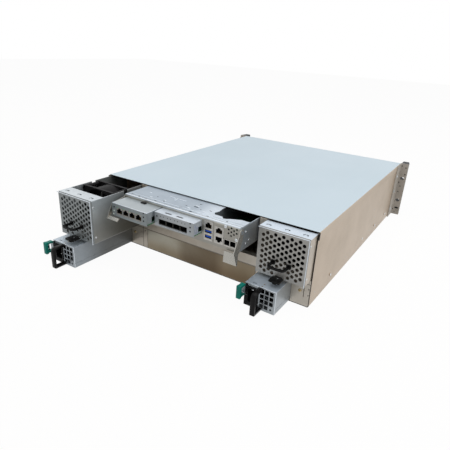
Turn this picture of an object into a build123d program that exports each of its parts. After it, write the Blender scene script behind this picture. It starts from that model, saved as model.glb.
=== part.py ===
from build123d import *
import os

# A rack storage server of three rack units, seen from behind: the rear faces -Y, +X is to the right
# of somebody who looks at the rear, and the origin is the middle of the base. Sizes in millimetres.
# Its fan modules, power supplies, controller canister and two port cards stand partly pulled out.

# Chassis
chassis_height = 132.0
chassis_length = 542.0
tray_gauge = 1.2
cover_gauge = 1.0
cover_setback = 3.4
cover_flange = 13.0
bend_radius = 1.5
seat_gap = 0.3
stud_radius = 2.6
stud_height = 21.0
stud_places = (-180.6, 102.0, 192.4)

# Rear bays
frame_gauge = 1.2
post_width = 12.0
lever_room = 2.7
partition_length = 330.0
fan_shelf_top = 48.7
psu_opening_top = 44.2
psu_runner = 0.8
blank_height = 40.2
strip_bottom = 41.2
strip_top = 59.0
ledge_top = 87.7
ledge_width = 14.0
ledge_setback = 18.0

# Fan modules
fan_module_width = 85.6
fan_module_height = 80.0
fan_module_length = 165.0
fan_side_gap = 0.8
fan_module_gauge = 1.0
fan_pull = {"left": 120.5, "right": 25.1}
fan_hole_radius = 3.0
fan_hole_pitch_x = 6.82
fan_hole_pitch_z = 9.35
fan_hole_columns = 11
fan_strip_depth = 27.0
fan_front = 52.0
fan_size = 80.0
fan_depth = 38.0
fan_bore_radius = 38.2
fan_blade_gap = 0.9
fan_blades = 7
fan_hub_radius = 17.5
fan_shaft_radius = 2.0
running_gap = 0.05
notch_start = 75.0
notch_end = 84.0
notch_depth = 7.0
fan_handle_span = 27.0
fan_handle_reach = 19.5
fan_handle_bar = 4.0
fan_handle_height = 24.5
fan_latch_width = 18.5
fan_latch_reach = 20.0
fan_latch_height = 3.0
fan_latch_thickness = 2.0
fan_latch_pin_radius = 1.5

# Power supplies
psu_width = 54.5
psu_height = 40.5
psu_length = 321.5
psu_gauge = 1.0
psu_wall_gap = 2.85
psu_post_gap = 0.55
psu_pull = {"left": 143.0, "right": 55.5}
psu_face_depth = 58.0
inlet_width = 19.6
inlet_height = 28.0
inlet_offset = -12.4
inlet_depth = 24.0
inlet_mouth_width = 16.2
inlet_mouth_height = 24.2
inlet_mouth_depth = 20.0
inlet_pin_length = 15.0
psu_handle_width = 8.5
psu_handle_offset = 0.6
psu_handle_reach = 18.5
psu_handle_thickness = 3.4
psu_handle_radius = 9.0
psu_hole_width = 6.6
psu_hole_height = 7.2
psu_hole_pitch_x = 8.2
psu_hole_pitch_z = 8.9
psu_fan_radius = 18.8
psu_fan_depth = 26.0
psu_fan_offset = 5.5
psu_blades = 5
psu_latch_height = 20.0
psu_latch_width = 7.0
psu_latch_reach = 15.4
psu_latch_arm = 28.0
psu_latch_gauge = 1.2
psu_latch_pocket = 5.4
psu_latch_middle = 28.5

# Controller canister
canister_height = 42.0
canister_length = 320.0
canister_gauge = 1.0
canister_pull = 57.3
board_height = 3.5
board_gauge = 1.6
port_bay_width = 70.2
port_bay_gap = 0.7

# Port cards, which slide in the canister
card_gauge = 1.0
card_height = 23.8
card_bottom = 13.5
card_length = 165.0
card_board_rise = 1.5
card_width = {"left": 79.4, "right": 80.8}
card_margin = 4.7
card_spacing = 3.2
card_pull = {"left": 35.8, "right": 20.6}
runner_width = 9.0
first_jack = 17.2
jack_pitch = 14.5
first_cage = 16.0
cage_pitch = 14.6
jack_count = 4
cage_walls = (0.35, 0.5)

# Ejector levers
lever_pivot_inset = 4.0
lever_pivot_drop = 8.4
lever_gauge = 1.2
lever_pin_radius = 2.0
lever_hub_radius = 6.0
lever_length = 53.5
lever_handle_width = 25.0
lever_handle_height = {"left": 6.5, "right": 19.0}
lever_open = {"left": 56.0, "right": 5.0}

# Front
ear_reach = 18.3
ear_gauge = 2.0
ear_flange = 36.0
ear_slot_inset = 8.75
ear_slot_heights = (37.7, 94.85)
ear_slot_width = 6.8
ear_slot_length = 10.3
ear_holes = ((4.8, 125.7, 1.5), (14.1, 122.1, 1.5), (15.0, 105.2, 1.6), (4.6, 83.5, 1.5),
             (9.3, 74.5, 1.6), (7.4, 59.8, 1.6), (4.2, 12.6, 1.3), (8.7, 6.4, 1.4))
cap_depth = 25.0
cap_clearance_radius = 6.0
button_radius = 4.0
button_height = 118.0
button_reach = 1.8
drive_columns = 4
drive_rows = 4
cage_depth = 182.0
cage_gauge = 1.0
cage_base = 1.5
bezel_depth = 14.0
bezel_proud = 9.0
carrier_gap = 0.35
rail_gauge = 1.6
rail_height = 22.0
drive_width = 101.6
drive_height = 26.1
drive_length = 147.0
drive_setback = 22.0
drive_socket_rise = (2.6, 8.4)
drive_socket_span = (-37.4, -4.6)
socket_clearance = 0.6
backplane_gauge = 2.4
backplane_gap = 6.0

# Places that follow from the sizes
rear = -chassis_length / 2
front = chassis_length / 2
canister_width = (card_margin + card_width["left"] + card_spacing + card_width["right"]
                  + port_bay_gap + port_bay_width)
canister_side = canister_width / 2
post_inner = canister_side + lever_room
post_outer = post_inner + post_width - 0.6
post_centre = post_inner + post_width / 2
bay_side = post_outer + fan_module_width + 2 * fan_side_gap
tray_side = bay_side + tray_gauge
cover_side = tray_side + cover_gauge
ear_span = 2 * (cover_side + ear_reach)
ear_slot_spacing = ear_span - 2 * ear_slot_inset
cover_under = chassis_height - cover_gauge
wall_top = cover_under - bend_radius - 0.1
fan_module_centre = post_outer + fan_side_gap + fan_module_width / 2
psu_centre = {"left": -(bay_side - psu_wall_gap - psu_width / 2),
              "right": post_outer + psu_post_gap + psu_width / 2}
fan_floor = fan_shelf_top + seat_gap
psu_floor = tray_gauge + psu_runner + seat_gap
canister_floor = ledge_top + seat_gap
canister_top = canister_floor + canister_height
canister_rear = rear - canister_pull
left_card_start = -canister_side + card_margin
right_card_start = left_card_start + card_width["left"] + card_spacing
card_edges = {"left": (left_card_start, left_card_start + card_width["left"]),
              "right": (right_card_start, right_card_start + card_width["right"])}
card_divider = right_card_start - 1.7
port_bay_edge = canister_side - port_bay_width
jack_centres = [left_card_start + first_jack + number * jack_pitch for number in range(jack_count)]
cage_centres = [right_card_start + first_cage + number * cage_pitch for number in range(jack_count)]
cage_front = front - 2.0
cage_rear = cage_front - cage_depth
backplane_front = cage_rear - backplane_gap
cell_width = (2 * bay_side - 0.8 - (drive_columns + 1) * cage_gauge) / drive_columns
cell_height = (cover_under - 0.5 - cage_base - (drive_rows + 1) * cage_gauge) / drive_rows
cage_left = -(bay_side - 0.4)
drive_tail = front + bezel_proud - bezel_depth - drive_setback - drive_length
drive_floor = -cell_height / 2 + carrier_gap + 1.2
canister_socket_end = rear + canister_length + 11.5
psu_socket_end = rear + psu_length + 10.0

os.makedirs("parts", exist_ok=True)


def block(x0, x1, y0, y1, z0, z1):
    return Pos((x0 + x1) / 2, (y0 + y1) / 2, (z0 + z1) / 2) * Box(x1 - x0, y1 - y0, z1 - z0)


def rear_sheet(face, y, depth):
    # A face drawn as seen from behind, given a depth inwards from y
    return Pos(0, y, 0) * extrude(Plane.XZ * face, amount=-depth)


def side_sheet(face, x, depth):
    # A face drawn in Y and Z, given a depth to the right from x
    return Pos(x, 0, 0) * extrude(Plane.YZ * face, amount=depth)


def top_sheet(face, z, depth):
    return Pos(0, 0, z) * extrude(face, amount=depth)


def rectangle(x0, x1, z0, z1):
    return Pos((x0 + x1) / 2, (z0 + z1) / 2) * Rectangle(x1 - x0, z1 - z0)


def rounded(x0, x1, z0, z1, radius):
    return Pos((x0 + x1) / 2, (z0 + z1) / 2) * RectangleRounded(x1 - x0, z1 - z0, radius)


def bent_section(points, gauge, radius=bend_radius):
    # The section of a folded sheet whose middle line has these corners
    return trace(FilletPolyline(*points, radius=radius + gauge / 2), line_width=gauge)


def rear_pin(x, z, y0, y1, radius):
    return Pos(x, y0, z) * (Rot(-90, 0, 0) * Cylinder(radius, y1 - y0, align=ON_BASE))


def side_pin(x0, x1, y, z, radius):
    return Pos(x0, y, z) * (Rot(0, 90, 0) * Cylinder(radius, x1 - x0, align=ON_BASE))


def group(pieces):
    return Compound([piece for part in pieces for piece in part.solids()])


def save(name, shape):
    shape.label = name
    export_step(shape, f"parts/{name}.step")


ON_BASE = (Align.CENTER, Align.CENTER, Align.MIN)


# Chassis shells
def make_tray():
    middle = tray_gauge / 2
    section = bent_section(
        [(-tray_side + middle, wall_top), (-tray_side + middle, middle),
         (tray_side - middle, middle), (tray_side - middle, wall_top)], tray_gauge)
    tray = rear_sheet(section, rear, chassis_length)
    for side in (-1, 1):
        for y in stud_places:
            stud = side_pin(0, cover_gauge, y, stud_height, stud_radius)
            tray += Pos(side * (tray_side + cover_gauge / 2) - cover_gauge / 2, 0, 0) * stud
    return tray


def make_cover():
    middle = cover_gauge / 2
    edge = cover_side - middle
    low = chassis_height - cover_flange
    section = bent_section(
        [(-edge, low), (-edge, chassis_height - middle), (edge, chassis_height - middle), (edge, low)],
        cover_gauge)
    return rear_sheet(section, rear + cover_setback, chassis_length - cover_setback - ear_gauge)


# Rear panel: one punched sheet with a notch for each bay
def make_rear_panel():
    edge = bay_side - 0.1
    face = rounded(-edge, edge, tray_gauge, cover_under - 0.1, bend_radius + 0.6)
    for side in (-1, 1):
        bay = sorted((side * post_outer, side * (edge + 1)))
        face -= rectangle(*bay, fan_shelf_top, cover_under + 1)
    face -= rectangle(-post_inner, post_inner, strip_top, cover_under + 1)
    face -= rectangle(-post_inner, post_inner, tray_gauge + seat_gap, blank_height + seat_gap)
    for name, centre in psu_centre.items():
        half = psu_width / 2 + seat_gap
        face -= rectangle(centre - half, centre + half, tray_gauge - 1, psu_opening_top)
    # Holes beside the power supplies and in the posts
    for x, z, radius in ((bay_side - 16.6, 26.6, 1.8), (bay_side - 1.8, 32.6, 1.1),
                         (bay_side - 1.8, 21.6, 1.1), (-post_outer - 3.4, 31.7, 1.2),
                         (-post_outer - 3.4, 20.7, 1.2), (-post_outer - 21.4, 26.6, 1.8),
                         (post_centre, 36.0, 1.4), (-post_centre, 36.0, 1.4)):
        face -= Pos(x, z) * Circle(radius)
    face -= rectangle(bay_side - 10.2, bay_side - 9.2, 16, 33)
    return rear_sheet(face, rear, frame_gauge)


# Bay frame: the partitions behind the posts, the fan shelves and the canister's ledges
def make_bay_frame():
    start = rear + frame_gauge
    end = start + partition_length
    gauge = frame_gauge
    plates = []
    for side in (-1, 1):
        for x in (post_inner, post_outer - gauge):
            plates.append(block(*sorted((side * x, side * (x + gauge))), start, end,
                                tray_gauge, cover_under - 0.1))
        plates.append(block(*sorted((side * post_outer, side * (bay_side - 0.1))), start, end,
                            fan_shelf_top - gauge, fan_shelf_top))
        plates.append(block(*sorted((side * (post_inner - ledge_width), side * post_inner)),
                            rear + ledge_setback, end, ledge_top - gauge, ledge_top))
        plates.append(block(*sorted((side * (post_inner + gauge), side * (post_outer - gauge))),
                            end - gauge, end, tray_gauge, cover_under - 0.1))
    for centre in psu_centre.values():
        for side in (-1, 1):
            x = centre + side * (psu_width / 2 - 6)
            plates.append(block(x - 4, x + 4, start, end, tray_gauge, tray_gauge + psu_runner))
    # The strip under the canister, folded back at its top
    middle = gauge / 2
    fold = start + middle
    section = bent_section([(rear + 12, strip_top - middle), (fold, strip_top - middle),
                            (fold, strip_bottom)], gauge, radius=0.6)
    plates.append(side_sheet(section, -post_inner, 2 * post_inner))
    return group(plates)


def make_lower_blank():
    half = post_inner - seat_gap
    bottom = tray_gauge + seat_gap
    box = block(-half, half, rear, rear + 26, bottom, bottom + blank_height - 1.2)
    box -= block(-half + frame_gauge, half - frame_gauge, rear + frame_gauge, rear + 27,
                 bottom + frame_gauge, bottom + blank_height - 1.2 - frame_gauge)
    return box


# Fan modules, drawn with their face at y = 0 and their floor at z = 0
def hole_places():
    places = []
    for column in range(fan_hole_columns):
        x = (column - (fan_hole_columns - 1) / 2) * fan_hole_pitch_x
        count = 7 + column % 2
        for row in range(count):
            z = fan_module_height / 2 - 1 + (row - (count - 1) / 2) * fan_hole_pitch_z
            if z < fan_latch_height + 8 and abs(x) < fan_latch_width / 2 + 2:
                continue
            places.append((x, z))
    return places


def make_fan_grille():
    half = fan_module_width / 2
    face = rectangle(-half, half, 0, fan_module_height)
    for side in (-1, 1):
        face -= Pos(side * half, fan_module_height) * Circle(2.2)
    face -= [Pos(x, z) * Circle(fan_hole_radius) for x, z in hole_places()]
    grille = rear_sheet(face, 0, fan_module_gauge)
    # Two ears that carry the latch pin
    for side in (-1, 1):
        x = side * (fan_latch_width / 2 - 1.5)
        ear = block(x - 1, x + 1, -3.4, 0, fan_latch_height - 2, fan_latch_height + 2)
        grille += ear
    grille += side_pin(-fan_latch_width / 2 + 1.5, fan_latch_width / 2 - 1.5, -1.9,
                       fan_latch_height, fan_latch_pin_radius - 0.5)
    return grille


def make_fan_cage():
    half = fan_module_width / 2
    gauge = fan_module_gauge
    middle = gauge / 2
    section = bent_section(
        [(-half + middle, fan_module_height), (-half + middle, middle),
         (half - middle, middle), (half - middle, fan_module_height)], gauge, radius=0.8)
    cage = rear_sheet(section, gauge, fan_module_length - gauge)
    cage -= block(-half - 1, half + 1, notch_start, notch_end,
                  fan_module_height - notch_depth, fan_module_height + 1)
    # The fan stands in a window in the floor
    window = fan_size / 2 + 0.2
    cage -= block(-window, window, fan_front - 0.2, fan_front + fan_depth + 0.2, -1, gauge + 1)
    strip = rectangle(-half + gauge, half - gauge, gauge, fan_strip_depth)
    for x in (-32.0, 0.0, 30.0):
        lance = Pos(x, 11.5) * (SlotOverall(9, 5) - Pos(0, -1.4) * Rectangle(4.4, 3.2))
        strip -= lance
    cage += top_sheet(strip, fan_module_height - gauge, gauge)
    # A cross wall with the connector at the inner end
    wall = rectangle(-half + gauge, half - gauge, gauge, 34)
    cage += rear_sheet(wall, fan_module_length - gauge, gauge)
    cage += block(-14, 14, fan_module_length, fan_module_length + 7, 10, 18)
    return cage


def make_fan_housing():
    half = fan_size / 2
    flange = RectangleRounded(fan_size, fan_size, 4) - Circle(fan_bore_radius)
    for x in (-35.75, 35.75):
        for z in (-35.75, 35.75):
            flange -= Pos(x, z) * Circle(2.2)
    thickness = 4.5
    housing = rear_sheet(flange, 0, thickness) + rear_sheet(flange, fan_depth - thickness, thickness)
    ring = Circle(fan_bore_radius + 1.4) - Circle(fan_bore_radius)
    housing += rear_sheet(ring, 0, fan_depth)
    for x in (-35.75, 35.75):
        for z in (-35.75, 35.75):
            housing += rear_pin(x, z, thickness, fan_depth - thickness, 3.6)
            housing -= rear_pin(x, z, -1, fan_depth + 1, 2.2)
    for angle in (20, 110, 200, 290):
        arm = block(0, fan_bore_radius + 0.6, 0, 3, -1.6, 1.6)
        housing += Rot(0, angle, 0) * arm
    # The motor's cup, with the bearing bore
    housing += rear_pin(0, 0, 0, 4.0, fan_hub_radius)
    housing += rear_pin(0, 0, 4.0, 16.0, 5.0)
    housing -= rear_pin(0, 0, 1.5, 17.0, fan_shaft_radius + running_gap)
    return Pos(0, fan_front, half) * housing


def make_rotor(hub, tip, depth, blades, shaft, shaft_start):
    # The rotor turns about Y, its hub open towards the motor at y = 0
    rotor = rear_pin(0, 0, 0, depth, hub) - rear_pin(0, 0, -1, depth - 2.5, hub - 2.5)
    root = Plane((hub * 0.7, depth / 2, 0), x_dir=(0, 1, 0), z_dir=(1, 0, 0))
    outer = Plane((tip + 1, depth / 2, 0), x_dir=(0, 1, 0), z_dir=(1, 0, 0))
    chord = depth * 0.92
    blade = loft([root * (Rot(0, 0, 48) * Rectangle(chord, 1.8)),
                  outer * (Rot(0, 0, 32) * Rectangle(chord, 1.2))], ruled=True)
    blade = blade & rear_pin(0, 0, 0, depth, tip)
    blade = blade - rear_pin(0, 0, -1, depth - 2.5, hub - 2.5)
    for number in range(blades):
        rotor += Rot(0, number * 360 / blades, 0) * blade
    return rotor + rear_pin(0, 0, shaft_start, depth - 1, shaft)


def make_fan_rotor():
    gap = 4.8
    depth = fan_depth - gap - 1.2
    rotor = make_rotor(fan_hub_radius, fan_bore_radius - fan_blade_gap, depth, fan_blades,
                       fan_shaft_radius, 2.0 - gap)
    return Pos(0, fan_front + gap, fan_size / 2) * rotor


def make_fan_handle():
    half = fan_handle_span / 2
    line = FilletPolyline((-half, 0), (-half, -fan_handle_reach), (half, -fan_handle_reach), (half, 0),
                          radius=5)
    loop = top_sheet(trace(line, line_width=fan_handle_bar), fan_handle_height, 3.0)
    for side in (-1, 1):
        foot = rounded(side * half - 4, side * half + 4, fan_handle_height - 2.5, fan_handle_height + 5.5, 2)
        loop += rear_sheet(foot, -1.6, 1.6)
    return loop


def make_fan_latch():
    half = fan_latch_width / 2
    tab = Pos(0, -fan_latch_reach / 2 - 1.0) * RectangleRounded(fan_latch_width, fan_latch_reach - 1.2, 1.6)
    latch = top_sheet(tab, fan_latch_height - fan_latch_thickness / 2, fan_latch_thickness)
    for side in (-1, 1):
        x = side * (half - 1.5)
        latch -= block(x - 1.4, x + 1.4, -3.8, 0, -5, 10)
    latch += side_pin(-half + 3.0, half - 3.0, -1.9, fan_latch_height, 1.6)
    latch -= side_pin(-half, half, -1.9, fan_latch_height, 1.0 + running_gap)
    latch += block(-3, 3, -fan_latch_reach + 2, -fan_latch_reach + 4.5, -1.4, fan_latch_height)
    return latch


# Power supplies, drawn with their face at y = 0, their floor at z = 0 and their middle at x = 0
def make_psu_case():
    half = psu_width / 2
    case = block(-half, half, 0, psu_length, 0, psu_height)
    case = fillet(case.edges().filter_by(Axis.Y), 0.8)
    case -= block(-half + psu_gauge, half - psu_gauge, psu_gauge, psu_face_depth - psu_fan_depth,
                  psu_gauge, psu_height - psu_gauge)
    case -= rear_pin(psu_fan_offset, psu_height / 2, psu_gauge, psu_face_depth, psu_fan_radius)
    case += rear_pin(psu_fan_offset, psu_height / 2, psu_face_depth - 3, psu_face_depth, 8)
    case -= rear_pin(psu_fan_offset, psu_height / 2, psu_face_depth - 4, psu_face_depth + 6,
                     1.5 + running_gap)
    # Inlet cut-out, grille and the round hole at its corner
    face = rectangle(inlet_offset - inlet_width / 2 + 1.2, inlet_offset + inlet_width / 2 - 1.2,
                     psu_height / 2 - inlet_height / 2 + 1.2, psu_height / 2 + inlet_height / 2 - 1.2)
    for column in range(3):
        for row in range(4):
            x = half - 7.2 - (2 - column) * psu_hole_pitch_x
            z = psu_height - 6.2 - row * psu_hole_pitch_z
            if (column, row) == (2, 3):
                face += Pos(x, z - 1) * Circle(1.9)
            else:
                face += Pos(x, z) * Rectangle(psu_hole_width, psu_hole_height)
    case -= rear_sheet(face, -1, psu_gauge + 2)
    # The slot in the top, the pocket for the latch and the seam low on the sides
    case -= block(-17.0, -9.0, 5, 6.4, psu_height - psu_gauge - 1, psu_height + 1)
    low = psu_latch_middle - psu_latch_height / 2 - 0.6
    case -= block(-half - 1, -half + psu_latch_pocket, -1, psu_latch_arm + 4, low,
                  low + psu_latch_height + 1.2)
    for side in (-1, 1):
        case -= block(side * half - 0.25, side * half + 0.25, 0, psu_length, 8.6, 9.0)
    # The pin that the latch swings on, and the edge connector at the inner end
    case += Pos(-half + 1.9, psu_latch_arm, low - 0.2) * Cylinder(1.0, psu_latch_height + 1.6, align=ON_BASE)
    case += block(-20, 20, psu_length, psu_length + 8, 12, 13.6)
    return case


def make_psu_inlet():
    x, z = inlet_offset, psu_height / 2
    flange = Pos(x, z) * RectangleRounded(inlet_width, inlet_height, 2.5)
    mouth = Pos(x, z) * RectangleRounded(inlet_mouth_width, inlet_mouth_height, 3.0)
    body = Pos(x, z) * RectangleRounded(inlet_width - 2.6, inlet_height - 2.6, 2.0)
    inlet = rear_sheet(flange, -1.6, 1.6) + rear_sheet(body, 0, inlet_depth)
    inlet -= rear_sheet(mouth, -2, inlet_mouth_depth + 2)
    for dx, dz in ((3.5, 0.0), (-3.5, 7.0), (-3.5, -7.0)):
        pin = Pos(x + dx, z + dz) * Rectangle(4.0, 2.0)
        inlet += rear_sheet(pin, inlet_mouth_depth - inlet_pin_length, inlet_pin_length + 1)
    return inlet


def make_psu_handle():
    top = psu_height - 2.4
    low = 2.2
    line = FilletPolyline((0, top), (-psu_handle_reach, top), (-psu_handle_reach, low), (0, low),
                          radius=[psu_handle_radius, 2.0])
    loop = side_sheet(trace(line, line_width=psu_handle_thickness), psu_handle_offset - psu_handle_width / 2,
                      psu_handle_width)
    return loop


def make_psu_latch():
    half = psu_width / 2
    low = psu_latch_middle - psu_latch_height / 2
    high = low + psu_latch_height
    outer = rounded(-psu_latch_reach, -0.4, low, high, 2.5)
    inner = rounded(-psu_latch_reach + 3.0, -2.6, low + 3.4, high - 3.4, 1.5)
    grip = side_sheet(outer - inner, -half - 5.4, psu_latch_width)
    arm = rounded(-1.5, psu_latch_arm + 1.4, low + 0.6, high - 0.6, 1.0)
    plate = side_sheet(arm, -half + 0.3, psu_latch_gauge)
    barrel = Pos(-half + 1.9, psu_latch_arm, low + 0.6) * Cylinder(
        1.6, psu_latch_height - 1.2, align=ON_BASE)
    latch = grip + plate + barrel
    latch -= Pos(-half + 1.9, psu_latch_arm, low - 1) * Cylinder(
        1.0 + running_gap, psu_latch_height + 2, align=ON_BASE)
    return latch


def make_psu_rotor():
    gap = 3.5
    depth = psu_fan_depth - gap - 5
    rotor = make_rotor(8.5, psu_fan_radius - 0.7, depth, psu_blades, 1.5, -8.0)
    turned = Rot(0, 0, 180) * rotor
    return Pos(psu_fan_offset, psu_face_depth - gap, psu_height / 2) * turned


# Controller canister, drawn with its rear at y = 0 and its floor at z = 0
def port_cuts():
    base = board_height + board_gauge
    edge = port_bay_edge
    return {
        "usb_stack": (edge + 4.1, edge + 21.3, base, 39.0),
        "jack_stack": (edge + 24.3, edge + 41.5, base, 34.2),
        "sas_pair": (edge + 42.3, edge + 64.7, base, 17.6),
    }


def make_canister_tray():
    half = canister_side
    gauge = canister_gauge
    middle = gauge / 2
    section = bent_section([(-half + middle, canister_height - gauge), (-half + middle, middle),
                            (half - middle, middle), (half - middle, canister_height - gauge)],
                           gauge, radius=0.8)
    tray = rear_sheet(section, 0, canister_length)
    face = rectangle(-half + gauge / 2, half - gauge / 2, gauge / 2, canister_height - gauge)
    face -= rectangle(card_edges["left"][0] - seat_gap, card_edges["right"][1] + seat_gap,
                      card_bottom - seat_gap, card_bottom + card_height + seat_gap)
    for x0, x1, z0, z1 in port_cuts().values():
        face -= rectangle(x0 - 0.3, x1 + 0.3, z0, z1 + 0.3)
    for column in range(4):
        for row in range(3):
            x = port_bay_edge + 50.0 + column * 4.9
            z = 38.0 - row * 6.5 - (3.2 if column % 2 == 0 else 0)
            if (column, row) in ((3, 2), (0, 2), (2, 2)):
                continue
            face -= Pos(x, z) * Circle(1.7)
    tray += rear_sheet(face, 0, gauge)
    # Dividers and runners for the two cards
    runner_top = card_bottom + card_board_rise - seat_gap
    right_wall = port_bay_edge + seat_gap
    for x0 in (card_divider - 0.5, right_wall):
        tray += block(x0, x0 + 1, 1.4, card_length + 6, gauge, canister_height - gauge - 0.1)
    for x0, x1 in ((-half + gauge, -half + gauge + runner_width + 2),
                   (card_divider - 0.5 - runner_width, card_divider - 0.5),
                   (card_divider + 0.5, card_divider + 0.5 + runner_width),
                   (right_wall - runner_width, right_wall)):
        tray += block(x0, x1, 1.4, card_length + 6, runner_top - 1, runner_top)
    # Pins for the levers, with a head outside
    for side in (-1, 1):
        pivot = (lever_pivot_inset, canister_height - lever_pivot_drop)
        pin = side_pin(0, 1.6, *pivot, lever_pin_radius)
        head = side_pin(1.6, 2.2, *pivot, lever_pin_radius + 1.2)
        stub = Pos(half, 0, 0) * (pin + head)
        tray += stub if side > 0 else mirror(stub, about=Plane.YZ)
    return tray


def make_canister_cover():
    half = canister_side
    sheet = rectangle(-half, half, 0, canister_length)
    # The cut-out over the board at the right rear corner
    cut = Pos(port_bay_edge) * make_face(Polyline(
        (4.7, 90.0), (4.7, 51.0), (7.2, 38.0), (4.3, 29.0), (8.3, 22.4), (23.2, 22.4), (28.5, 16.6),
        (34.0, 18.2), (38.1, 22.0), (54.6, 29.8), (port_bay_width + 1, 29.8), (port_bay_width + 1, 90.0),
        close=True))
    sheet -= cut
    for x, y, length in ((-54.0, 12.5, 8.0), (-33.9, 29.5, 8.6), (-28.7, 7.2, 6.0), (-126.3, 5.0, 9.0)):
        sheet -= Pos(port_bay_edge + x, y) * SlotOverall(length, 3.2)
    for x, y in ((-123.9, 15.8), (-93.7, 17.6), (-40.6, 17.5)):
        sheet -= Pos(port_bay_edge + x, y) * Circle(1.2)
    cover = top_sheet(sheet, canister_height - canister_gauge, canister_gauge)
    return cover


def make_canister_board():
    half = canister_side - canister_gauge - 0.5
    base = board_height
    board = block(-half, half, 1.4, canister_length - 2, base, base + board_gauge)
    board -= block(card_divider - 0.8, card_divider + 0.8, 1, card_length + 6.4, base - 1, base + 3)
    right_wall = port_bay_edge + seat_gap
    board -= block(right_wall - 0.3, right_wall + 1.3, 1, card_length + 6.4, base - 1, base + 3)
    for x in (-half + 18, -50, 0, half - 18):
        for y in (20, 150, 300):
            board += Pos(x, y, canister_gauge) * Cylinder(3, base - canister_gauge, align=ON_BASE)
    top = base + board_gauge
    # Processor heat sink with fins, memory modules and the card sockets
    sink = block(-38, 38, 195, 262, top, top + 5)
    for number in range(20):
        x = -37 + number * 3.85
        sink += block(x - 0.5, x + 0.5, 195, 262, top + 4, top + 26)
    pieces = [board, sink]
    for number in range(4):
        x = port_bay_edge + 12.7 + number * 10
        memory = block(x - 2, x + 2, 190, 290, top, top + 6)
        pieces.append(memory + block(x - 0.8, x + 0.8, 194, 286, top + 5, top + 31))
    for x0, x1 in card_edges.values():
        middle = (x0 + x1) / 2
        pieces.append(block(middle - 24, middle + 24, card_length + 8, card_length + 18, top, top + 9))
    chip = Pos(port_bay_edge + 33.2, 85, top) * Box(45, 50, 1, align=ON_BASE)
    pieces.append(chip + Pos(port_bay_edge + 33.2, 85, top + 1) * Box(33, 38, 13, align=ON_BASE))
    pieces.append(block(-60, 60, canister_length - 2, canister_length + 9, base, base + 10))
    return group(pieces)


def jack_void(x, z, depth, upright=1):
    # The opening of a modular jack, whose latch notch is on top when upright is 1
    shape = Pos(x, z) * Rectangle(11.7, 6.8)
    shape += Pos(x, z + upright * 4.0) * Rectangle(6.2, 2.6)
    shape += Pos(x, z + upright * 5.2) * Rectangle(3.4, 2.0)
    return rear_sheet(shape, -1, depth + 1)


def make_canister_ports():
    cuts = port_cuts()
    x0, x1, z0, z1 = cuts["usb_stack"]
    middle = (x0 + x1) / 2
    usb = block(x0, x1, -0.4, 18, z0, z1) - jack_void(middle, 29.9, 14)
    for z in (11.6, 20.6):
        usb -= block(middle - 6.4, middle + 6.4, -1, 12, z - 2.7, z + 2.7)
        usb += block(middle - 5.6, middle + 5.6, 0.6, 13, z + 0.2, z + 2.0)
    x0, x1, z0, z1 = cuts["jack_stack"]
    middle = (x0 + x1) / 2
    jacks = block(x0, x1, -0.4, 22, z0, z1)
    jacks -= jack_void(middle, 27.0 - 0.6, 16)
    jacks -= jack_void(middle, 13.6, 16, upright=-1)
    x0, x1, z0, z1 = cuts["sas_pair"]
    pair = block(x0, x1, -0.4, 26, z0, z1)
    middle = (x0 + x1) / 2
    for side in (-1, 1):
        pair -= block(middle + side * 5.4 - 4.8, middle + side * 5.4 + 4.8, -1, 20, z0 + 2.4, z1 - 1.2)
    return group([usb, jacks, pair])


# Port cards, drawn in the canister's frame with their face at y = 0
def make_card_case(name):
    x0, x1 = card_edges[name]
    top = card_bottom + card_height
    board_top = card_bottom + card_board_rise + board_gauge
    face = rounded(x0, x1, card_bottom, top, 1.0)
    for z in (-17.3, -10.4, -3.6):
        face -= Pos(x1 - 7.4, card_bottom + card_height / 2 + 9.9 + z + 3.6) * Circle(1.5)
    face -= Pos(x0 + 5.0, top - 7.0) * Circle(1.5)
    if name == "left":
        for x in jack_centres:
            face -= rectangle(x - 6.9, x + 6.9, board_top + 1.6, board_top + 14.0)
    else:
        face -= rectangle(cage_centres[0] - 7.3, cage_centres[-1] + 7.3, board_top, board_top + 9.8)
        for x in cage_centres:
            for side in (-1, 1):
                face -= Pos(x + side * 3.1, top - 5.6) * Circle(0.9)
    case = rear_sheet(face, 0, card_gauge)
    depth = 60.0
    sheet = rectangle(x0, x1, card_gauge, depth)
    if name == "right":
        for x in (x0 + 24.0, x0 + 47.8):
            sheet -= Pos(x, 6.3) * SlotOverall(14, 3.4)
    case += top_sheet(sheet, top - card_gauge, card_gauge)
    wall = rectangle(card_gauge, depth, board_top, top - card_gauge)
    wall -= rectangle(11.5, 21.5, board_top + 1.5, top - 10)
    case += side_sheet(wall, x0, card_gauge)
    case += side_sheet(wall, x1 - card_gauge, card_gauge)
    return case


def make_card_board(name):
    x0, x1 = card_edges[name]
    base = card_bottom + card_board_rise
    board = block(x0, x1, card_gauge, card_length, base, base + board_gauge)
    middle = (x0 + x1) / 2
    board += block(middle - 16, middle + 16, 72, 104, base + board_gauge, base + board_gauge + 2)
    for number in range(9):
        x = middle - 15.2 + number * 3.8
        board += block(x - 0.5, x + 0.5, 72, 104, base + board_gauge + 1, base + board_gauge + 11)
    board += block(middle - 20, middle + 20, card_length, card_length + 6, base + 0.2, base + 1.4)
    return board


def make_card_jacks():
    base = card_bottom + card_board_rise + board_gauge
    bodies = []
    for x in jack_centres:
        body = block(x - 6.6, x + 6.6, 0.2, card_gauge, base + 1.8, base + 13.8)
        body += block(x - 7.15, x + 7.15, card_gauge, 25, base, base + 15.0)
        bodies.append(body - jack_void(x, base + 7.0, 16))
    return group(bodies)


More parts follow.
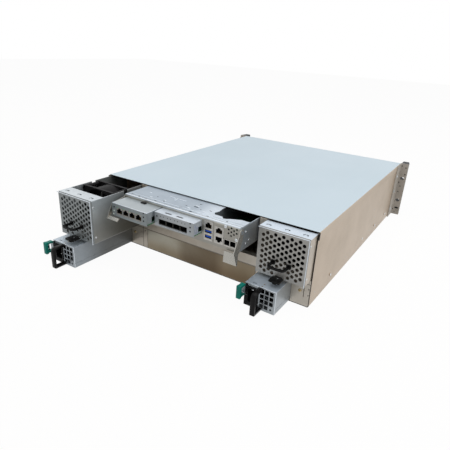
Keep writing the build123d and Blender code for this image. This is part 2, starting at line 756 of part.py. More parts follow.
def make_card_cages():
    base = card_bottom + card_board_rise + board_gauge
    side_wall, floor_wall = cage_walls
    bodies = []
    for x in cage_centres:
        inner = 7.2 - side_wall
        bodies.append(block(x - 7.2, x + 7.2, card_gauge, 48, base, base + floor_wall))
        bodies.append(block(x - 7.2, x + 7.2, card_gauge, 48, base + 9.6 - floor_wall, base + 9.6))
        for x0, x1 in ((x - 7.2, x - inner), (x + inner, x + 7.2)):
            bodies.append(block(x0, x1, card_gauge, 48, base + floor_wall, base + 9.6 - floor_wall))
        bodies.append(block(x - inner, x + inner, 46, 48, base + floor_wall, base + 9.6 - floor_wall))
    return group(bodies)


# Ejector lever, drawn closed with its pivot at the origin of Y and Z and its arm at x = 0..gauge
def make_lever(side, handle_height):
    reach = lever_length
    arm = make_face(Polyline((-5.5, 2.5), (5.5, 2.5), (4.0, -14.0), (0.0, -26.0), (-5.5, -36.0),
                             (-4.4, -reach), (-6.2, -reach), (-18.6, -29.5), (-6.5, -4.0), close=True))
    arm += Circle(lever_hub_radius)
    arm -= Circle(lever_pin_radius + running_gap)
    plate = rectangle(-6.2, -4.6, -reach, -reach + handle_height)
    lever = side_sheet(arm, 0, lever_gauge)
    lever += side_sheet(plate, lever_gauge - lever_handle_width, lever_handle_width)
    if side < 0:
        lever = mirror(lever, about=Plane.YZ)
    return lever


def place_lever(name):
    side = -1 if name == "left" else 1
    lever = make_lever(side, lever_handle_height[name])
    turn = -lever_open[name]
    place = Pos(side * (canister_side + 0.35), canister_rear + lever_pivot_inset,
                canister_top - lever_pivot_drop)
    return place * (Rot(turn, 0, 0) * lever)


# Front of the chassis
def make_drive_cage():
    # Upright plates from floor to top, with short shelves between them
    top = cover_under - 0.5
    shell = rear_sheet(rounded(cage_left, -cage_left, cage_base, top, bend_radius + 0.6),
                       cage_rear, cage_depth)
    plates = []
    for column in range(drive_columns + 1):
        x = cage_left + column * (cell_width + cage_gauge)
        plates.append(shell & block(x, x + cage_gauge, cage_rear, cage_front, cage_base, top))
        if column == drive_columns:
            break
        for row in range(drive_rows + 1):
            z = cage_base + row * (cell_height + cage_gauge)
            plates.append(shell & block(x + cage_gauge, x + cage_gauge + cell_width, cage_rear,
                                        cage_front, z, z + cage_gauge))
    return group(plates)


def cell_centre(column, row):
    x = cage_left + cage_gauge + column * (cell_width + cage_gauge) + cell_width / 2
    z = cage_base + cage_gauge + row * (cell_height + cage_gauge) + cell_height / 2
    return x, z


def make_backplane():
    half = -cage_left - 1
    face = rectangle(-half, half, cage_base + 1, cover_under - 1.5)
    for column in range(drive_columns):
        for row in range(drive_rows):
            x, z = cell_centre(column, row)
            face -= Pos(x + 26, z) * SlotOverall(40, 12)
    board = rear_sheet(face, backplane_front - backplane_gauge, backplane_gauge)
    for column in range(drive_columns):
        for row in range(drive_rows):
            x, z = cell_centre(column, row)
            board += block(x + drive_socket_span[0], x + drive_socket_span[1], backplane_front,
                           drive_tail - socket_clearance, z + drive_floor + drive_socket_rise[0],
                           z + drive_floor + drive_socket_rise[1])
    # Brackets that hold the board to the cage, and the sockets for canister and power
    for x in (-half + 4, half - 4):
        board += block(x - 4, x + 4, backplane_front, cage_rear, 50, 80)
    back = backplane_front - backplane_gauge
    board += block(-62, 62, canister_socket_end, back, canister_floor + 2, canister_floor + 15)
    for centre in psu_centre.values():
        board += block(centre - 22, centre + 22, psu_socket_end, back, psu_floor + 9, psu_floor + 17)
    return board


def make_carrier():
    # Drawn round the middle of its cell, its bezel's front at y = 0
    half = cell_width / 2 - carrier_gap
    tall = cell_height / 2 - carrier_gap
    bezel = rectangle(-half, half, -tall, tall)
    grooves = [Pos(x, 0) * SlotOverall(18, 4, rotation=90) for x in (-30, -22, -14, -6, 2, 10)]
    pieces = [rear_sheet(bezel, -bezel_depth, bezel_depth - 3) + rear_sheet(bezel - grooves, -3, 3)]
    length = cage_depth - bezel_depth + bezel_proud - 8
    for side in (-1, 1):
        x = side * (half - rail_gauge / 2)
        rail = block(x - rail_gauge / 2, x + rail_gauge / 2, -bezel_depth - length, -bezel_depth,
                     -tall, -tall + rail_height)
        foot = sorted((side * half, side * (half - 9)))
        pieces.append(rail + block(*foot, -bezel_depth - length, -bezel_depth, -tall, -tall + 1))
    head = -bezel_depth - drive_setback
    tail = head - drive_length
    drive = block(-drive_width / 2, drive_width / 2, tail, head, drive_floor, drive_floor + drive_height)
    drive = fillet(drive.edges().filter_by(Axis.Z), 2.5)
    lever = rounded(18, half - 4, -tall + 5, tall - 5, 2)
    lever = rear_sheet(lever, 0, 3.6)
    return group(pieces + [drive, lever])


def make_ears():
    ears = []
    for side in (-1, 1):
        edge = side * ear_span / 2
        root = side * (tray_side + ear_gauge / 2)
        line = FilletPolyline((root, front - ear_flange), (root, front - ear_gauge / 2),
                              (edge, front - ear_gauge / 2), radius=ear_gauge)
        ear = top_sheet(trace(line, line_width=ear_gauge), 0, chassis_height)
        ear -= block(-cover_side - 0.3, cover_side + 0.3, front - ear_flange - 1, front - ear_gauge,
                     chassis_height - cover_flange - 1, chassis_height + 1)
        shape = None
        for z in ear_slot_heights:
            slot = Pos(side * ear_slot_spacing / 2, z) * SlotOverall(ear_slot_length, ear_slot_width)
            shape = slot if shape is None else shape + slot
        for x, z, radius in ear_holes:
            shape += Pos(side * (tray_side + x), z) * Circle(radius)
        shape += Pos(side * (tray_side + 11.9), 17.2) * SlotOverall(9.0, 5.0)
        ear -= rear_sheet(shape, front - ear_gauge - 1, ear_gauge + 2)
        ears.append(ear)
    return ears


def make_caps():
    caps = []
    for side in (-1, 1):
        inner = tray_side + 1.6
        outer = ear_span / 2 - 0.4
        profile = FilletPolyline((inner, 0), (inner, cap_depth), (outer - 4, cap_depth), (outer, 6),
                                 (outer, 0), radius=[2, 3, 2], close=False)
        face = make_face(profile + Line((outer, 0), (inner, 0)))
        cap = Pos(0, front, 0.4) * extrude(face, amount=chassis_height - 0.8)
        for z in ear_slot_heights:
            cap -= rear_pin(ear_slot_spacing / 2, z, front - 1, front + cap_depth + 1, cap_clearance_radius)
        if side > 0:
            cap -= rear_pin(ear_slot_spacing / 2, button_height, front + 4, front + cap_depth + 1,
                            button_radius + running_gap)
        else:
            cap = mirror(cap, about=Plane.YZ)
        caps.append(cap)
    return caps


def make_button():
    button = rear_pin(ear_slot_spacing / 2, button_height, front + 4 + button_reach + seat_gap,
                      front + cap_depth + button_reach, button_radius)
    return fillet(button.edges().sort_by(Axis.Y)[-1], 0.8)


# Every node is written once
save("chassis_tray", make_tray())
save("top_cover", make_cover())
save("rear_panel", make_rear_panel())
save("bay_frame", make_bay_frame())
save("lower_blank", make_lower_blank())

for name, side in (("left", -1), ("right", 1)):
    place = Pos(side * fan_module_centre, rear - fan_pull[name], fan_floor)
    save(f"fan_{name}_grille", place * make_fan_grille())
    save(f"fan_{name}_cage", place * make_fan_cage())
    save(f"fan_{name}_housing", place * make_fan_housing())
    save(f"fan_{name}_rotor", place * make_fan_rotor())
    save(f"fan_{name}_handle", place * make_fan_handle())
    save(f"fan_{name}_latch", place * make_fan_latch())
    place = Pos(psu_centre[name], rear - psu_pull[name], psu_floor)
    save(f"psu_{name}_case", place * make_psu_case())
    save(f"psu_{name}_inlet", place * make_psu_inlet())
    save(f"psu_{name}_handle", place * make_psu_handle())
    save(f"psu_{name}_latch", place * make_psu_latch())
    save(f"psu_{name}_rotor", place * make_psu_rotor())
    save(f"lever_{name}", place_lever(name))
    place = Pos(0, canister_rear - card_pull[name], canister_floor)
    save(f"card_{name}_case", place * make_card_case(name))
    save(f"card_{name}_board", place * make_card_board(name))
    save(f"card_{name}_sockets", place * (make_card_jacks() if name == "left" else make_card_cages()))

place = Pos(0, canister_rear, canister_floor)
save("canister_tray", place * make_canister_tray())
save("canister_cover", place * make_canister_cover())
save("canister_board", place * make_canister_board())
save("canister_ports", place * make_canister_ports())

save("drive_cage", make_drive_cage())
save("drive_backplane", make_backplane())
save("rack_ears", group(make_ears()))
save("ear_caps", group(make_caps()))
save("power_button", make_button())
carrier = make_carrier()
for column in range(drive_columns):
    for row in range(drive_rows):
        x, z = cell_centre(column, row)
        save(f"drive_tray_{row * drive_columns + column + 1}", Pos(x, front + bezel_proud, z) * carrier)
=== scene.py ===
import math

import bmesh
import bpy
from mathutils import Matrix, Vector


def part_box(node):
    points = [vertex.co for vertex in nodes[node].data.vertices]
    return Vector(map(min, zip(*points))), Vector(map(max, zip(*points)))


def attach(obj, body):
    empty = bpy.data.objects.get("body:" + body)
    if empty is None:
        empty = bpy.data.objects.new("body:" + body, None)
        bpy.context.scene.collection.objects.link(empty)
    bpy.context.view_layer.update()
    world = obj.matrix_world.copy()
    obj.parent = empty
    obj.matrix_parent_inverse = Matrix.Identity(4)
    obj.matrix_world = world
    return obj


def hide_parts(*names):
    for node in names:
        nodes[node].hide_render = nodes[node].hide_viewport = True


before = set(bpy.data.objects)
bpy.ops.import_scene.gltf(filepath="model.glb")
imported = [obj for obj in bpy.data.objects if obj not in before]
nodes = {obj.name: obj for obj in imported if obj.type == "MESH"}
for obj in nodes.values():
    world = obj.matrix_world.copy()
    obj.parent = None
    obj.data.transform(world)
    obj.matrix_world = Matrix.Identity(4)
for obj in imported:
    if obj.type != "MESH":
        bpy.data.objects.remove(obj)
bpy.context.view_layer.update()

mm = 0.001
scene = bpy.context.scene
sides = ("left", "right")
trays = [f"drive_tray_{number}" for number in range(1, 17)]
toLeft = (-1, 0, 0)
toRight = (1, 0, 0)
toRear = (0, -1, 0)
toFront = (0, 1, 0)
upward = (0, 0, 1)
print("frame loaded:", len(nodes), "nodes")


# Colours and nodes
def linear(code, alpha=1.0):
    channels = [int(code[n:n + 2], 16) / 255 for n in (0, 2, 4)]
    curve = [c / 12.92 if c <= 0.04045 else ((c + 0.055) / 1.055) ** 2.4 for c in channels]
    return (*curve, alpha)


def perSize(size):
    # A pattern's scale, from how many millimetres one of its cells is across
    return 1 / (size * mm)


def addNode(material, kind, settings=None, links=None):
    node = material.node_tree.nodes.new(kind)
    for name, value in (settings or {}).items():
        if isinstance(name, int) or name in node.inputs:
            node.inputs[name].default_value = value
        else:
            setattr(node, name, value)
    for name, source in (links or {}).items():
        join(material, source, node, name)
    return node


def join(material, source, node, name):
    material.node_tree.links.new(source, node.inputs[name])


def newMaterial(name):
    material = bpy.data.materials.new(name)
    material.use_nodes = True
    material.node_tree.nodes.clear()
    shader = addNode(material, "ShaderNodeBsdfPrincipled")
    addNode(material, "ShaderNodeOutputMaterial", links={"Surface": shader.outputs["BSDF"]})
    where = addNode(material, "ShaderNodeTexCoord").outputs["Object"]
    return material, shader, where


def twoTones(material, factor, first, second, low=0.35, high=0.65):
    ramp = addNode(material, "ShaderNodeValToRGB", links={"Fac": factor})
    for element, position, tone in zip(ramp.color_ramp.elements, (low, high), (first, second)):
        element.position = position
        element.color = linear(tone)
    return ramp.outputs["Color"]


def multiply(material, colour, amount, paintedTone):
    mix = addNode(material, "ShaderNodeMix",
                  {"data_type": "RGBA", "blend_type": "MULTIPLY", 7: linear(paintedTone)},
                  {0: amount, 6: colour})
    return mix.outputs[2]


def vary(material, shader, name, pattern, low, high):
    # One of the shader's values follows a pattern between two levels
    level = addNode(material, "ShaderNodeMapRange", {"To Min": low, "To Max": high}, {"Value": pattern})
    join(material, level.outputs["Result"], shader, name)


def emboss(material, shader, pattern, strength, depth):
    bump = addNode(material, "ShaderNodeBump", {"Strength": strength, "Distance": depth * mm},
                   {"Height": pattern})
    join(material, bump.outputs["Normal"], shader, "Normal")


def withPaintedLight(material, where, colour, spec):
    # "fades" grow from a start to an end along one axis: painted shade and painted reflections that
    # change across a part.
    # "bands" lie about a middle: narrow ones are painted shade in a seam, wide ones a stretch of a sheet
    # painted darker as painted shade. All places are in millimetres.
    axes = addNode(material, "ShaderNodeSeparateXYZ", links={"Vector": where}).outputs
    for axis, start, end, paintedTone in spec.get("fades", ()):
        along = addNode(material, "ShaderNodeMapRange", {
            "interpolation_type": "SMOOTHSTEP", "From Min": start * mm, "From Max": end * mm},
            {"Value": axes[axis]})
        colour = multiply(material, colour, along.outputs["Result"], paintedTone)
    for axis, middle, width, paintedTone in spec.get("bands", ()):
        away = addNode(material, "ShaderNodeMath", {"operation": "SUBTRACT", 1: middle * mm},
                       {0: axes[axis]})
        distance = addNode(material, "ShaderNodeMath", {"operation": "ABSOLUTE"},
                           {0: away.outputs["Value"]})
        near = addNode(material, "ShaderNodeMapRange", {
            "From Min": 0.3 * width * mm, "From Max": 0.5 * width * mm, "To Min": 1.0, "To Max": 0.0},
            {"Value": distance.outputs["Value"]})
        colour = multiply(material, colour, near.outputs["Result"], paintedTone)
    return colour


# Zinc-coated sheet: soft spangle, drawn-out rolling marks along one way, faint clouds. The marks are
# drawn coarser than life, because at this distance real ones wouldn't show.
def zincSheet(name, spec):
    material, shader, where = newMaterial(name)
    shader.inputs["Metallic"].default_value = spec["metallic"]
    spangle = addNode(material, "ShaderNodeTexVoronoi", {"Scale": perSize(spec["spangle"]),
                                                         "Randomness": 1.0}, {"Vector": where})
    drawn = addNode(material, "ShaderNodeMapping", {"Scale": [perSize(size) for size in spec["roll"]]},
                    {"Vector": where})
    roll = addNode(material, "ShaderNodeTexNoise", {"Scale": 1.0, "Detail": 4.0, "Roughness": 0.6},
                   {"Vector": drawn.outputs["Vector"]})
    cloud = addNode(material, "ShaderNodeTexNoise", {"Scale": perSize(spec["cloud"]), "Detail": 3.0},
                    {"Vector": where})
    crystal = addNode(material, "ShaderNodeMix", {"data_type": "RGBA", 0: spec["mottle"]},
                      {6: cloud.outputs["Color"], 7: spangle.outputs["Color"]})
    grey = addNode(material, "ShaderNodeRGBToBW", links={"Color": crystal.outputs[2]})
    colour = twoTones(material, grey.outputs["Val"], spec["shade"], spec["tone"], 0.3, 0.62)
    # Over the sheet's own colour go its painted light and shade
    join(material, withPaintedLight(material, where, colour, spec), shader, "Base Color")
    vary(material, shader, "Roughness", roll.outputs["Fac"], spec["roughness"] - 0.06,
         spec["roughness"] + 0.1)
    emboss(material, shader, roll.outputs["Fac"], spec["bump"], 0.05)
    return material


# Cover sheet with pale blue film on its top, faintly wrinkled; the folded edges are bare
def filmedSheet(name, spec):
    material, shader, where = newMaterial(name)
    height = addNode(material, "ShaderNodeSeparateXYZ", links={"Vector": where}).outputs["Z"]
    onTop = addNode(material, "ShaderNodeMapRange", {"From Min": spec["edge"] * mm,
                                                     "From Max": (spec["edge"] + 0.15) * mm},
                    {"Value": height}).outputs["Result"]
    cloud = addNode(material, "ShaderNodeTexNoise", {"Scale": perSize(spec["cloud"]), "Detail": 2.0},
                    {"Vector": where})
    film = twoTones(material, cloud.outputs["Fac"], spec["shade"], spec["tone"], 0.3, 0.7)
    bare = twoTones(material, cloud.outputs["Fac"], spec["bareShade"], spec["bareTone"], 0.3, 0.7)
    # The bare edges get their painted light and shade
    bare = withPaintedLight(material, where, bare, spec)
    both = addNode(material, "ShaderNodeMix", {"data_type": "RGBA"}, {0: onTop, 6: bare, 7: film})
    join(material, both.outputs[2], shader, "Base Color")
    vary(material, shader, "Metallic", onTop, 0.55, 0.08)
    drawn = addNode(material, "ShaderNodeMapping",
                    {"Scale": [perSize(size) for size in spec["wrinkle"]]}, {"Vector": where})
    ripple = addNode(material, "ShaderNodeTexNoise", {"Scale": 1.0, "Detail": 3.0},
                     {"Vector": drawn.outputs["Vector"]})
    vary(material, shader, "Roughness", ripple.outputs["Fac"], 0.38, 0.5)
    emboss(material, shader, ripple.outputs["Fac"], 0.05, 0.3)
    return material


# Moulded plastic with a spark-eroded grain, drawn coarser than life so that it shows
def mouldedPlastic(name, spec):
    material, shader, where = newMaterial(name)
    shader.inputs["IOR"].default_value = 1.53
    shader.inputs["Specular IOR Level"].default_value = 0.12
    grain = addNode(material, "ShaderNodeTexNoise", {"Scale": perSize(spec["grain"]), "Detail": 2.0},
                    {"Vector": where})
    cloud = addNode(material, "ShaderNodeTexNoise", {"Scale": perSize(25), "Detail": 3.0},
                    {"Vector": where})
    join(material, twoTones(material, cloud.outputs["Fac"], spec["shade"], spec["tone"]),
         shader, "Base Color")
    vary(material, shader, "Roughness", cloud.outputs["Fac"], spec["roughness"] - 0.08,
         spec["roughness"] + 0.08)
    emboss(material, shader, grain.outputs["Fac"], spec["bump"], 0.03)
    return material


# Powder coat: matt, with orange peel
def powderCoat(name, spec):
    material, shader, where = newMaterial(name)
    peel = addNode(material, "ShaderNodeTexNoise", {"Scale": perSize(spec["peel"]), "Detail": 2.0},
                   {"Vector": where})
    cloud = addNode(material, "ShaderNodeTexNoise", {"Scale": perSize(40), "Detail": 3.0},
                    {"Vector": where})
    join(material, twoTones(material, cloud.outputs["Fac"], spec["shade"], spec["tone"]),
         shader, "Base Color")
    shader.inputs["Roughness"].default_value = spec["roughness"]
    emboss(material, shader, peel.outputs["Fac"], 0.2, 0.05)
    return material


# Solder mask over copper tracks: green, with lighter lanes where tracks lie under it
def solderMask(name, spec):
    material, shader, where = newMaterial(name)
    lanes = addNode(material, "ShaderNodeTexBrick", {"Scale": perSize(6.25), "Mortar Size": 0.02,
                                                     "Color1": linear(spec["tone"]),
                                                     "Color2": linear(spec["shade"]),
                                                     "Mortar": linear(spec["track"])},
                    {"Vector": where})
    join(material, lanes.outputs["Color"], shader, "Base Color")
    cloud = addNode(material, "ShaderNodeTexNoise", {"Scale": perSize(11.1), "Detail": 2.0},
                    {"Vector": where})
    vary(material, shader, "Roughness", cloud.outputs["Fac"], 0.28, 0.42)
    return material


# Tinned connector shell whose inside, behind the rim, is black moulding
def lippedConnector(name, spec):
    material, shader, where = newMaterial(name)
    shader.inputs["Roughness"].default_value = 0.42
    depth = addNode(material, "ShaderNodeSeparateXYZ", links={"Vector": where}).outputs["Y"]
    edge = addNode(material, "ShaderNodeMapRange", {"From Min": spec["rim"] * mm,
                                                    "From Max": (spec["rim"] + 0.3) * mm},
                   {"Value": depth}).outputs["Result"]
    cloud = addNode(material, "ShaderNodeTexNoise", {"Scale": perSize(3.33), "Detail": 2.0},
                    {"Vector": where})
    shell = twoTones(material, cloud.outputs["Fac"], spec["shade"], spec["tone"])
    both = addNode(material, "ShaderNodeMix", {"data_type": "RGBA", 7: linear(spec["inside"])},
                   {0: edge, 6: shell})
    join(material, both.outputs[2], shader, "Base Color")
    vary(material, shader, "Metallic", edge, 0.7, 0.0)
    return material


# Teal grip moulded over a steel arm: steel shows behind one depth, and between two heights
def grippedArm(name, spec):
    material, shader, where = newMaterial(name)
    shader.inputs["Specular IOR Level"].default_value = 0.3
    axes = addNode(material, "ShaderNodeSeparateXYZ", links={"Vector": where}).outputs
    arm, bar = [addNode(material, "ShaderNodeMapRange", {"From Min": start * mm,
                                                         "From Max": (start + 0.2) * mm},
                        {"Value": axes["Y"]}).outputs["Result"] for start in (spec["arm"], spec["bar"])]
    inWindow = addNode(material, "ShaderNodeMath", {"operation": "COMPARE", 1: spec["middle"] * mm,
                                                    2: spec["half"] * mm}, {0: axes["Z"]})
    seen = addNode(material, "ShaderNodeMath", {"operation": "MULTIPLY"},
                   {0: bar, 1: inWindow.outputs["Value"]})
    steel = addNode(material, "ShaderNodeMath", {"operation": "MAXIMUM"},
                    {0: arm, 1: seen.outputs["Value"]}).outputs["Value"]
    cloud = addNode(material, "ShaderNodeTexNoise", {"Scale": perSize(16.7), "Detail": 3.0},
                    {"Vector": where})
    teal = twoTones(material, cloud.outputs["Fac"], spec["shade"], spec["tone"])
    bare = twoTones(material, cloud.outputs["Fac"], spec["steelShade"], spec["steelTone"])
    both = addNode(material, "ShaderNodeMix", {"data_type": "RGBA"}, {0: steel, 6: teal, 7: bare})
    join(material, both.outputs[2], shader, "Base Color")
    vary(material, shader, "Metallic", steel, 0.0, 0.7)
    vary(material, shader, "Roughness", cloud.outputs["Fac"], 0.32, 0.44)
    grain = addNode(material, "ShaderNodeTexNoise", {"Scale": perSize(0.5), "Detail": 2.0},
                    {"Vector": where})
    emboss(material, shader, grain.outputs["Fac"], 0.1, 0.03)
    return material


def onBoth(*names):
    # The names of like nodes on the left and on the right, where a name holds a star for its side
    return [name.replace("*", side) for name in names for side in sides]


# What like finishes share; sizes of patterns and places of painted light and shade are in millimetres
rollAlong = (1.2, 90.0, 1.2)    # rolling marks run front to back
rollAcross = (60.0, 1.2, 1.2)
sheet = {"metallic": 0.45, "roughness": 0.36, "spangle": 7, "roll": rollAlong, "mottle": 0.15,
         "bump": 0.1, "cloud": 71.4}
fanFace = sheet | {"roughness": 0.4, "roll": rollAcross}
psuCase = sheet | {"metallic": 0.5, "spangle": 6}
canisterMetal = sheet | {"metallic": 0.55, "spangle": 9}
cardCase = sheet | {"metallic": 0.55, "roughness": 0.32, "spangle": 12, "roll": rollAcross,
                    "mottle": 0.1, "bump": 0.06}
smallMetal = sheet | {"metallic": 0.85, "spangle": 3, "mottle": 0.1, "bump": 0.05}
tealGrip = {"tone": "178577", "shade": "127468", "steelTone": "A4AAAE", "steelShade": "8D9398",
            "middle": 30.8, "half": 6.7}

